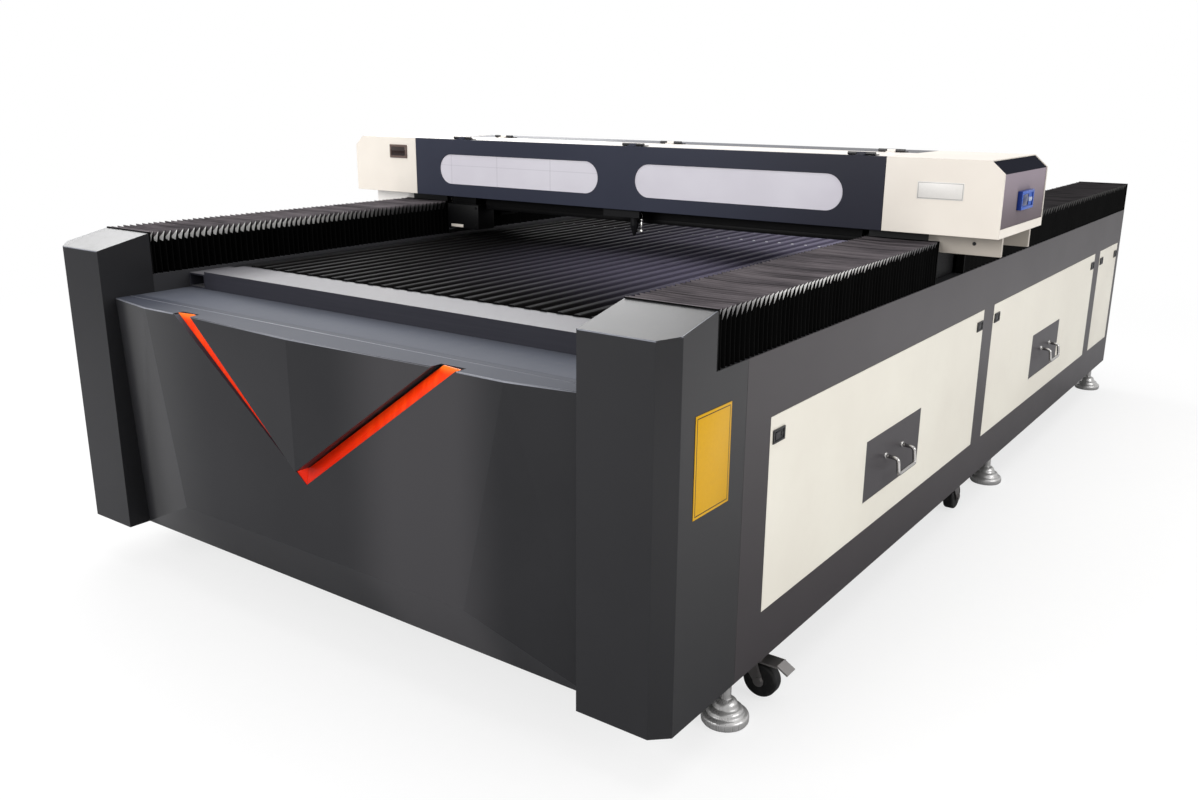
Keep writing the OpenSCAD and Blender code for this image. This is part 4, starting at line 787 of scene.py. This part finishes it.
for x in (-caster_x, caster_x):
    for y in caster_ys:
        for a, b in ((-bolt_x, -bolt_y), (-bolt_x, bolt_y), (bolt_x, -bolt_y), (bolt_x, bolt_y)):
            bolts.turned((x + a, y + b, bolt_z), (0, 0, -1), bolt_profile, 6)
bolts.made("caster_bolts", "base", zinc, "caster_zinc")

# Gantry box: end caps and top lid in warm white paint, the front cover, rear wall and end panels in a
# dark blue-grey, the beams inside black. The lid and the cover hang on black butt hinges with screws.
white_coat = powder_coat("warm_white_coat", srgb(233, 225, 214), 0.30, Specular_IOR_Level=0.35)
housing_low, housing_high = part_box("gantry_housing")
bracket_top, bracket_in = housing_low[2] - 0.0005, 0.872


def cap_recipe(place):
    white = clouds(place).mix(srgb(224, 216, 206), srgb(234, 227, 217))
    # below the cap the bracket is painted a shade darker on the right and near black inboard of the
    # carriages, as painted shade under the cap
    bracket = (place.part(0) > 0.0).mix(srgb(242, 238, 234), srgb(178, 170, 160))
    bracket = (abs(place.part(0)) < bracket_in).mix(bracket, srgb(15, 15, 16))
    return {
        "Base Color": (place.part(2) < bracket_top).mix(white, bracket),
        "Roughness": 0.31 + 0.06 * place.noise(6.0, 5.0),
        "Normal": place.bump(orange_peel(place), 0.05, 0.0016)}


dress(finish("cap_coat", cap_recipe, Specular_IOR_Level=0.35), "left_end_cap", "right_end_cap")
lid_top, lid_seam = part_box("top_lid")[1][2] - 0.0008, -0.500


def lid_recipe(place):
    # painted reflection: the rear of the lid top painted grey towards the right, where it is seen at a
    # grazing angle
    rear = (place.part(1) > lid_seam) * place.part(0).step(-0.75, 0.0) * (place.part(2) > lid_top)
    peel = orange_peel(place)
    return {
        "Base Color": rear.mix(srgb(230, 224, 218), srgb(96, 95, 102)),
        "Roughness": 0.32 + 0.05 * peel,
        "Normal": place.bump(peel, 0.05, 0.0014)}


dress(finish("lid_coat", lid_recipe, Specular_IOR_Level=0.25), "top_lid")


def cover_recipe(place):
    coat = clouds(place).mix(srgb(47, 50, 64), srgb(51, 54, 68))
    return {
        # painted shade: the blue-grey coat darker towards the right end
        "Base Color": place.part(0).step(0.15, 0.75).mix(coat, srgb(33, 34, 46)),
        "Roughness": 0.29 + 0.06 * place.noise(6.0, 5.0),
        "Normal": place.bump(orange_peel(place), 0.05, 0.0016)}


dress(finish("blue_grey_coat", cover_recipe, Specular_IOR_Level=0.2), "gantry_housing", "front_cover")


def end_recipe(place):
    # painted shade on the sloped faces; painted light on the upright face, lighter towards the top
    shaded_slope = place.facing(2).step(0.1, 0.4)
    peel = orange_peel(place)
    face = place.part(2).step(0.90, 1.02).mix(srgb(106, 98, 102), srgb(142, 132, 140))
    return {
        "Base Color": shaded_slope.mix(face, srgb(36, 37, 44)),
        "Roughness": 0.30 + 0.05 * peel,
        "Normal": place.bump(peel, 0.04, 0.0014)}


dress(finish("end_panel_coat", end_recipe, Specular_IOR_Level=0.0), "end_panels")
beam_coat = powder_coat("beam_coat", srgb(12, 12, 13), 0.42, Specular_IOR_Level=0.1)
dress(beam_coat, "gantry_beam", "drive_motors")
dress(powder_coat("hinge_coat", srgb(28, 28, 30), 0.35), "lid_hinges", "cover_hinges")
hinge_xs, hinge_step, hinge_z = (-0.5886, 0.0477, 0.7115), 0.024, 1.0555
for name, body, y in (("cover_hinge_screws", "lid", -0.601), ("lid_hinge_screws", "gantry", -0.406)):
    hinge_screws = Solid()
    for x in hinge_xs:
        for k in (-1, 0, 1):
            hinge_screws.screw((x + k * hinge_step, y, hinge_z), (0, 0, 1), 0.0032)
    hinge_screws.made(name, body, black_screw, "hinge_black")
housing_screws = screw_rows((housing_low, housing_high), count=11, end_gap=0.04, foot_gap=0.012,
                            head_gap=0.014, radius=0.0045)
housing_screws.made("housing_screws", "gantry", black_screw, "cover_paint")
bracket_screws = Solid()
bracket_screws.screw((0.982, -0.555, 0.856), (0, -1, 0), 0.0045)
bracket_screws.made("bracket_screws", "gantry", black_screw, "cap_white")
cap_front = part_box("right_end_cap")[0][1]
label_x, label_z, label_half_x, label_half_z, label_t = 0.9145, 0.980, 0.0545, 0.020, 0.0009


def label_recipe(place):
    inset = (label_half_x - abs(place.part(0) - label_x)).least(label_half_z - abs(place.part(2) - label_z))
    line = (inset > 0.0016) * (inset < 0.0030)
    grain = place.noise(160.0, 3.0)
    return {
        "Base Color": line.mix(grain.mix(srgb(212, 209, 205), srgb(222, 219, 215)), srgb(150, 146, 144)),
        "Roughness": 0.32 + 0.1 * grain,
        "Normal": place.bump(grain, 0.04)}


label = Solid()
label.slab((label_x - label_half_x, cap_front - label_t, label_z - label_half_z),
           (label_x + label_half_x, cap_front, label_z + label_half_z), 0.0003)
label.made("cap_plate", "gantry", finish("plain_plate", label_recipe), "cap_white")

# Gearbox and seals under the gantry: a black cast housing beside the shaft with a blank tag, a black
# rubber lip under the lower beam, and a strip brush at each end that keeps smoke off the carriages.
beam_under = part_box("gantry_beam")[0][2] + 0.0002
lip = Solid()
lip.slab((-0.5595, -0.5465, 0.836), (0.6995, -0.5345, beam_under), 0.001)
lip.made("beam_lip", "gantry", beam_coat, "beam_black")
gear_low, gear_high = (-0.700, -0.577, 0.772), (-0.567, -0.500, 0.850)
neck_x, neck_y = 0.015, 0.007
gearbox = Solid()
gearbox.slab(gear_low, gear_high, 0.004)
gearbox.slab((gear_low[0] + neck_x, gear_low[1] + neck_y, gear_high[2] - 0.001),
             (gear_high[0] - neck_x, gear_high[1] - neck_y, bracket_top), 0.002)
for x in (gear_low[0] + 0.010, gear_high[0] - 0.010):
    for z in (gear_low[2] + 0.014, gear_high[2] - 0.010):
        gearbox.screw((x, gear_low[1], z), (0, -1, 0), 0.004)
gearbox.made("gearbox", "gantry", beam_coat, "motor_black")
tag_x, tag_z, tag_long, tag_tall = gear_low[0] + 0.016, gear_low[2] + 0.004, 0.052, 0.009
tag = Solid()
tag.slab((tag_x, gear_low[1] - 0.0008, tag_z),
         (tag_x + tag_long, gear_low[1] + 0.0002, tag_z + tag_tall), 0.0003)
tag.made("gearbox_tag", "gantry", white_coat, "cap_white")
brush_in, brush_out, brush_front, brush_rear, brush_low = 0.8715, 0.8775, -0.541, -0.363, 0.862
tufts, tuft_pitch, tuft_long, tuft_half, tuft_tip, tuft_sway = 44, 0.004, 0.0034, 0.0007, 0.7528, 0.0015
# the brushes' black also closes the gap under each end of the gantry, standing in for the shade there
brush = Solid()
for side in (-1, 1):
    xs = sorted((side * brush_in, side * brush_out))
    brush.slab((xs[0], brush_front, brush_low), (xs[1], brush_rear, bracket_top), 0.001)
    for row, x in enumerate((side * 0.8732, side * 0.8752)):
        for k in range(tufts):
            y = brush_front + 0.001 + k * tuft_pitch + row * tuft_pitch / 2
            tip = tuft_tip + tuft_sway * math.sin(k * 2.3 + row)
            brush.slab((x - tuft_half, y, tip), (x + tuft_half, y + tuft_long, brush_low + 0.001))
brush.made("strip_brushes", "gantry", beam_coat, "motor_black")


# Windows: milky acrylic panes with rounded ends, clipped in behind the openings of the cover,
# with faint darker lines on the left painted as the shade of the machinery behind.
def window_recipe(place):
    line = abs(place.part(2) - 0.974) < 0.0012
    for x in (-0.628, -0.441, -0.236):
        line = line + (abs(place.part(0) - x) < 0.002)
    left = place.part(0) < 0.0
    cloud = place.noise(4.0, 3.0)
    pane = cloud.step(0.3, 0.7).mix(srgb(212, 208, 217), srgb(220, 217, 225))
    return {
        "Base Color": (left * line * 0.16).mix(pane, srgb(130, 126, 138)),
        "Roughness": 0.10 + 0.06 * cloud,
        "Normal": place.bump(place.noise(8.0, 2.0), 0.02)}


dress(finish("milky_acrylic", window_recipe, Specular_IOR_Level=0.4), "cover_windows")

# Drives and optics inside the box: machined clamps, black anodised mirror mounts, head and lens tube,
# carriages painted white above, a ground shaft and a glass tube with metal ends, all screwed in place.
dress(brushed("machined_aluminium", srgb(190, 190, 192), (1, 1, 0.1), 0.30, srgb(140, 139, 138),
              Metallic=1.0), "tube_clamps", "x_drive_pulley")
dress(brushed("ground_shaft", srgb(120, 120, 124), (1, 0.05, 0.05), 0.22, srgb(80, 78, 76), Metallic=1.0),
      "drive_shaft")
tube_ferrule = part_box("laser_tube")[1][0] - 0.040


def tube_recipe(place):
    ends = abs(place.part(0)) > tube_ferrule
    swirl = place.stretched((0.3, 1, 1)).noise(14.0, 3.0)
    return {
        "Base Color": ends.mix(swirl.mix(srgb(205, 220, 228), srgb(224, 234, 240)), srgb(188, 186, 182)),
        "Metallic": ends,
        "Roughness": 0.06 + 0.22 * ends + 0.05 * swirl}


dress(finish("tube_glass", tube_recipe, Coat_Weight=0.5), "laser_tube")


def anodised_recipe(place):
    grain = place.noise(520.0, 3.0)
    rub = place.noise(30.0, 5.0).step(0.6, 0.85)
    black = grain.mix(shaded(srgb(20, 20, 22), 0.85), shaded(srgb(20, 20, 22), 1.15))
    return {
        "Base Color": (rub * 0.3).mix(black, srgb(80, 80, 82)),
        "Roughness": 0.40 + 0.10 * grain,
        "Normal": place.bump(grain, 0.08, 0.0006)}


dress(finish("black_anodised", anodised_recipe, Specular_IOR_Level=0.15), "mirror_mounts", "head_carriage",
      "lens_tube")


def carriage_recipe(place):
    grain = place.noise(520.0, 3.0)
    painted = place.part(2) > 0.800
    # the white painted a shade darker on the right, as painted shade
    white = (place.part(0) < 0.0).mix(srgb(172, 168, 161), srgb(238, 234, 228))
    return {
        "Base Color": painted.mix(grain.mix(srgb(14, 14, 15), srgb(24, 24, 26)), white),
        "Roughness": 0.40 + 0.10 * grain,
        "Normal": place.bump(grain, 0.06, 0.0006)}


dress(finish("carriage_coat", carriage_recipe, Specular_IOR_Level=0.15), "y_carriages")

# Air line of the head: a bright steel pipe beside the nozzle, bent to a banjo elbow at its foot
# and clamped to the lens tube, with which it moves.
pipe_x, pipe_y, pipe_r = 0.0690, -0.5985, 0.0026
pipe_nut = [(pipe_r, 0), (0.0048, 0.001), (0.0048, 0.008), (pipe_r, 0.009)]
pipe_elbow = [(0, 0), (0.0040, 0.0008), (0.0046, 0.006), (0.0040, 0.013), (pipe_r, 0.014)]
pipe = Solid()
pipe.bead([(pipe_x, pipe_y, 0.874), (pipe_x, pipe_y, 0.824), (pipe_x - 0.0015, -0.5983, 0.8205),
           (pipe_x - 0.0050, -0.5980, 0.8190), (pipe_x - 0.0200, -0.5972, 0.8190)], pipe_r, 12)
pipe.turned((pipe_x, pipe_y, 0.846), (0, 0, 1), pipe_nut, 6)
pipe.turned((pipe_x, pipe_y, 0.812), (0, 0, 1), pipe_elbow)
pipe_steel = brushed("pipe_steel", srgb(214, 212, 208), (1, 1, 0.05), 0.2, srgb(170, 168, 165), Metallic=1.0)
pipe.made("air_pipe", "lens", pipe_steel, "aluminium")

# Meter and display: a blue moulded case on the right end and a brown one on the left cap, snapped into
# cut-outs in the sheet, each with a dark glossy screen and round keys.
meter_low, meter_high, dish_x = (1.0552, -0.504, 0.935), (1.0665, -0.402, 0.979), 1.0636
display_low, display_high = (-0.895, -0.6340, 0.988), (-0.819, -0.6302, 1.030)
rim, rim_lap, dish_in = 0.007, 0.002, 0.004


def meter_recipe(place):
    left = place.part(0) < 0.0
    dish = (place.part(0) < dish_x + 0.0009) * (place.part(0) > 1.0)
    grain = place.noise(420.0, 3.0)
    shell = grain.mix(srgb(42, 80, 166), srgb(55, 95, 182))
    # faces not turned to the end are painted darker blue: painted shade on the rim sides and in the recess
    front = place.facing(0).step(0.5, 0.9).mix(srgb(24, 52, 130), shell)
    return {
        "Base Color": left.mix(front, srgb(98, 82, 76)),
        "Roughness": 0.22 + 0.12 * grain + 0.1 * dish,
        "Normal": place.bump(grain, 0.05, 0.0008)}


cases = Solid()
for first, last, low, high in rim_bars(meter_low[1], meter_high[1], meter_low[2], meter_high[2],
                                       rim, rim, rim_lap):
    cases.slab((meter_low[0], first, low), (meter_high[0], last, high), 0.0015)
cases.slab((meter_low[0] - 0.0002, meter_low[1] + dish_in, meter_low[2] + dish_in),
           (dish_x, meter_high[1] - dish_in, meter_high[2] - dish_in))
for first, last, low, high in rim_bars(display_low[0], display_high[0], display_low[2], display_high[2],
                                       rim, rim, rim_lap):
    cases.slab((first, display_low[1], low), (last, display_high[1], high), 0.0010)
cases.slab((display_low[0] + dish_in, display_low[1] + 0.0020, display_low[2] + dish_in),
           (display_high[0] - dish_in, display_high[1], display_high[2] - dish_in))
meter_plastic = finish("meter_plastic", meter_recipe, Specular_IOR_Level=0.3)
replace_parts(cases.made("meter_cases", "gantry", meter_plastic, "meter_blue"), "panel_meters")


def screen_recipe(colour):
    def recipe(place):
        glow = place.noise(30.0, 3.0)
        return {
            "Base Color": glow.mix(shaded(colour, 0.8), shaded(colour, 1.2)),
            "Roughness": 0.08 + 0.06 * glow}

    return recipe


screen = Solid()
screen.slab((dish_x - 0.0002, -0.490, 0.944), (dish_x + 0.0010, -0.440, 0.970), 0.0004)
screen.made("meter_screen", "gantry", finish("blue_screen", screen_recipe(srgb(28, 44, 92))), "meter_blue")
key_z = (meter_low[2] + meter_high[2]) / 2
key_profile = [(0.0052, 0), (0.0052, 0.0016), (0.0044, 0.0024), (0, 0.0026)]
keys = Solid()
for y in (-0.432, -0.419):
    keys.turned((dish_x - 0.0002, y, key_z), (1, 0, 0), key_profile)
keys.made("meter_keys", "gantry", finish("key_plastic", screen_recipe(srgb(176, 186, 206))), "meter_blue")
display = Solid()
display.slab((display_low[0] + 0.008, display_low[1] + 0.0006, display_low[2] + 0.008),
             (display_high[0] - 0.008, display_low[1] + 0.0022, display_high[2] - 0.008), 0.0004)
display.made("display_screen", "gantry", finish("brown_screen", screen_recipe(srgb(40, 28, 25))),
             "meter_blue")
